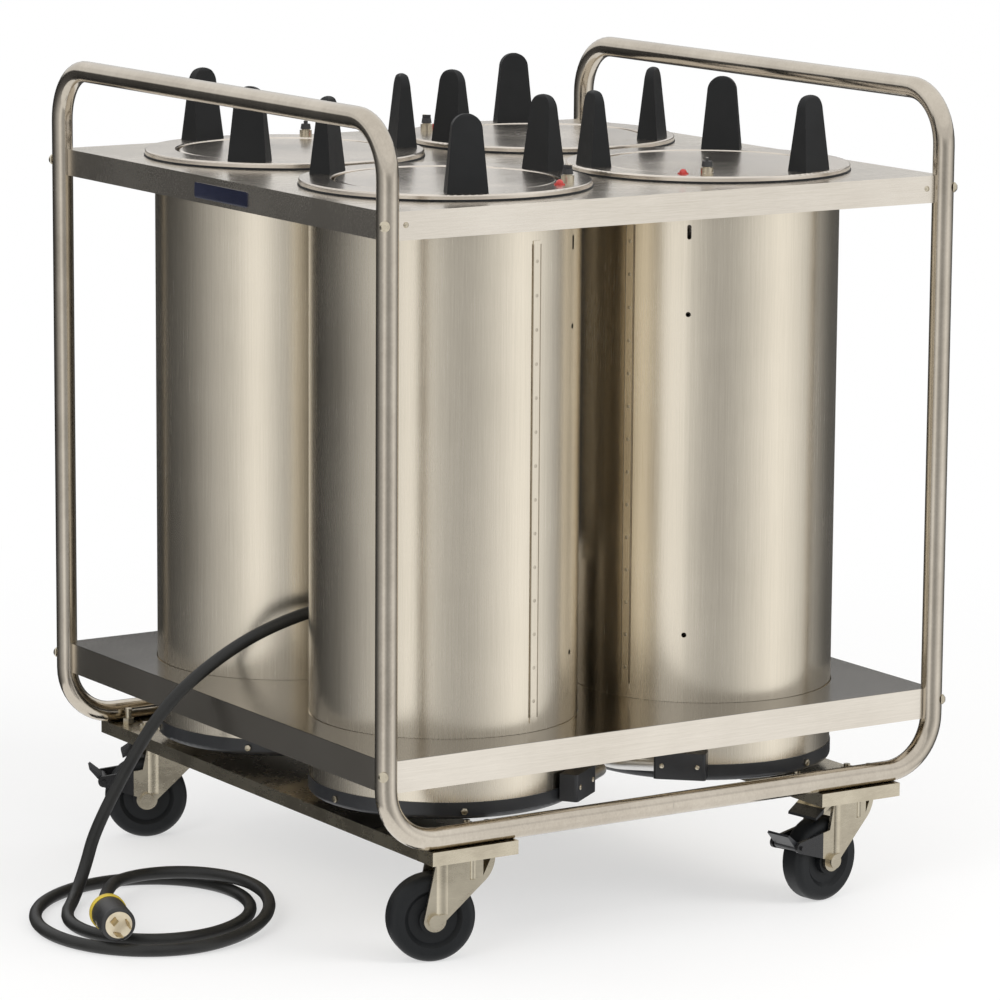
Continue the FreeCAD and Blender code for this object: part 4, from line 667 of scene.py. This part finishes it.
def makeTubeWelds():
    shape = bmesh.new()
    low, high = tubeWeld["radius"] - tubeWeld["sink"], tubeWeld["radius"] + tubeWeld["bead"]
    half = tubeWeld["width"] / 2
    crown = half * tubeWeld["crown"]
    profile = [(low, -half), (high, -crown), (high, crown), (low, half)]
    for end in (-1, 1):
        stand = facing((0, end * tubeWeld["out"], tubeWeld["height"]), (1, 0, 0))
        turned(shape, profile, stand, tubeWeld["steps"])
    finishPiece("tubeWelds", shape, "polishedTube", "cart")


makeTubeWelds()
print("trim made")


# Finishes on the solid pieces
wear = {
    "polishedTube": ["frame_tube_left", "frame_tube_right"],
    "satinSheet": ["top_deck", "junction_box", "junction_box_cover"],
    "lowerSheet": ["lower_deck"],
    "zincPlate": ["frame_bolts", "caster_bolts", "caster_plates", "thermostats",
                  "caster_channel_left", "caster_channel_right"],
    "blackPaint": ["base_pans", "brake_pedal_front_right", "brake_pedal_back_left"],
    "darkSteel": ["heating_elements"],
    "redLens": ["pilot_lamps"],
    "aluminiumTube": ["conduits"],
    "blackPlastic": ["cord_gland", "plug_body"],
    "ivoryPlastic": ["plug_face"],
    "brassBlade": ["plug_blades"],
}
perUnit = {"jacket_": "brushedJacket", "inner_tube_": "satinSheet", "flange_": "polishedFlange",
           "plate_guides_": "guidePlastic", "carrier_": "polishedFlange",
           "springs_": "darkSteel", "knob_": "blackPlastic", "caster_fork_": "zincPlate",
           "caster_wheel_": "wheelRubber"}
for start, label in perUnit.items():
    wear.setdefault(label, []).extend(start + corner for corner in corners)


# The two braked forks: bright zinc legs, with the brake's ears and hood painted black
brakedFork = {"front_right": {"swivel": (0.27, -0.337, 0), "turn": 190},
              "back_left": {"swivel": (-0.27, 0.337, 0), "turn": 155}}
hoodPaint = {"legReach": 0.0385, "black": (0.014, 0.014, 0.015)}


def brakedForkFinish(corner):
    material = metalFinish("zincFork_" + corner, metals["zincPlate"])
    tree = material.node_tree
    shader = tree.nodes["Principled BSDF"]
    lead = math.radians(brakedFork[corner]["turn"])
    out = Vector((math.cos(lead), math.sin(lead), 0))
    reach = out.dot(Vector(brakedFork[corner]["swivel"])) + hoodPaint["legReach"]
    along = reckonVector(tree, "DOT_PRODUCT", objectPlace(tree), out, result="Value")
    beyond = reckon(tree, "GREATER_THAN", along, reach)
    zinc = shader.inputs["Base Color"].links[0].from_socket
    feed(tree, shader.inputs["Base Color"], mixColour(tree, beyond, zinc, hoodPaint["black"]))
    feed(tree, shader.inputs["Metallic"], remap(tree, beyond, goals=(1, 0)))
    return material


for corner in brakedFork:
    made["fork_" + corner] = brakedForkFinish(corner)
    wear["zincPlate"].remove("caster_fork_" + corner)
    wear["fork_" + corner] = ["caster_fork_" + corner]
for label, names in wear.items():
    for name in names:
        for place in nodes[name].material_slots:
            place.material = made[label]
print("finishes placed")


# White world, seen at full strength and lighting at a little less
studioWorld = {"light": 0.9, "seen": 1.0}


def makeWorld():
    world = bpy.data.worlds.new("studioWorld")
    scene.world = world
    world.use_nodes = True
    world.cycles.sampling_method = "NONE"
    tree = world.node_tree
    tree.nodes.clear()
    path = addNode(tree, "ShaderNodeLightPath").outputs
    seen = reckon(tree, "MAXIMUM", path["Is Camera Ray"], path["Is Glossy Ray"])
    seen = reckon(tree, "MAXIMUM", seen, path["Is Transmission Ray"])
    light = addNode(tree, "ShaderNodeBackground", Strength=studioWorld["light"])
    white = addNode(tree, "ShaderNodeBackground", Strength=studioWorld["seen"])
    for node in (light, white):
        node.inputs["Color"].default_value = (1, 1, 1, 1)
    out = addNode(tree, "ShaderNodeOutputWorld")
    feed(tree, out.inputs["Surface"], mixShaders(tree, seen, light, white))


# Pale floor that keeps the shadow and fades to white farther out
paleFloor = {"size": 14, "segments": 4, "tone": (0.94, 0.938, 0.932), "speck": 0.985,
             "speckScale": 2.0, "roughness": 0.8, "fade": (0.9, 2.2), "lift": 0.55}


def makeFloor():
    material, tree, shader = newMaterial("paleFloor")
    where = objectPlace(tree)
    speck = placeGroup(tree, handMarks, where, Scale=paleFloor["speckScale"]).outputs["Marks"]
    dim = [paleFloor["speck"] * part for part in paleFloor["tone"]]
    feed(tree, shader.inputs["Base Color"], mixColour(tree, speck, dim, paleFloor["tone"]))
    shader.inputs["Roughness"].default_value = paleFloor["roughness"]
    far = reckonVector(tree, "LENGTH", where, result="Value")
    fade = remap(tree, far, paleFloor["fade"], (paleFloor["lift"], 1), "SMOOTHSTEP")
    path = addNode(tree, "ShaderNodeLightPath").outputs
    faded = reckon(tree, "MULTIPLY", fade, path["Is Camera Ray"])
    white = addNode(tree, "ShaderNodeEmission", Strength=1.0)
    surface = tree.nodes["Material Output"].inputs["Surface"]
    feed(tree, surface, mixShaders(tree, faded, shader, white))
    shape = bmesh.new()
    bmesh.ops.create_grid(shape, x_segments=paleFloor["segments"],
                          y_segments=paleFloor["segments"], size=paleFloor["size"] / 2)
    floor = placeMesh("paleFloor", shape, material)
    floor.visible_glossy = False


# Grey tent that only mirrored rays see: tones by azimuth, and a pale sky above
greyTent = {
    "radius": 4.5, "foot": -2.5, "head": 2.8, "steps": 96, "sky": (0.86, 0.86, 0.86),
    "skyRise": (1.15, 1.45),
    "tones": [(-180, 0.5), (-163, 0.74), (-152, 1.04), (-142, 1.0), (-132, 0.68), (-122, 0.5),
              (-110, 0.43), (-98, 0.5), (-78, 0.8), (-58, 1.1), (-36, 0.82), (-8, 0.25),
              (8, 0.1), (57, 0.07), (107, 0.03), (143, 0.135), (160, 0.3), (180, 0.55)],
}


def makeTent():
    material, tree = newMaterial("greyTent")[:2]
    material.cycles.emission_sampling = "NONE"
    tree.nodes.clear()
    where = splitPlace(tree, objectPlace(tree))
    angle = reckon(tree, "ARCTAN2", where["Y"], where["X"])
    ramp = addNode(tree, "ShaderNodeValToRGB")
    feed(tree, ramp.inputs["Fac"], remap(tree, angle, (-math.pi, math.pi)))
    stops = ramp.color_ramp.elements
    while len(stops) < len(greyTent["tones"]):
        stops.new(0.5)
    for stop, (azimuth, tone) in zip(stops, greyTent["tones"]):
        stop.position = azimuth / 360 + 0.5
        stop.color = (tone, tone, tone, 1)
    rise = remap(tree, where["Z"], greyTent["skyRise"], curve="SMOOTHSTEP")
    glow = addNode(tree, "ShaderNodeEmission", Strength=1.0)
    feed(tree, glow.inputs["Color"], mixColour(tree, rise, ramp.outputs["Color"], greyTent["sky"]))
    out = addNode(tree, "ShaderNodeOutputMaterial")
    feed(tree, out.inputs["Surface"], glow.outputs[0])
    shape = bmesh.new()
    wall = [(greyTent["radius"], greyTent["foot"]), (greyTent["radius"], greyTent["head"])]
    turned(shape, wall, Matrix.Identity(4), greyTent["steps"])
    tent = placeMesh("greyTent", shape, material)
    tent.visible_camera = False
    tent.visible_diffuse = False
    tent.visible_transmission = False
    tent.visible_shadow = False


# Two soft lamps, left out of the mirrored rays
softLamps = {"softRight": {"place": (2.6, -4.0, 3.0), "size": 2.6, "power": 120},
             "softLeft": {"place": (-4.4, -2.4, 2.8), "size": 2.4, "power": 70}}
lampTarget = Vector((0, 0, 0.5))


def makeLamps():
    for name, setting in softLamps.items():
        lamp = bpy.data.lights.new(name, "AREA")
        lamp.shape = "DISK"
        lamp.size = setting["size"]
        lamp.energy = setting["power"]
        holder = bpy.data.objects.new(name, lamp)
        scene.collection.objects.link(holder)
        holder.visible_glossy = False
        aim = (lampTarget - Vector(setting["place"])).to_track_quat("-Z", "Y")
        holder.matrix_world = Matrix.Translation(setting["place"]) @ aim.to_matrix().to_4x4()


makeWorld()
makeFloor()
makeTent()
makeLamps()
scene.view_settings.view_transform = "Standard"
print("studio lit")
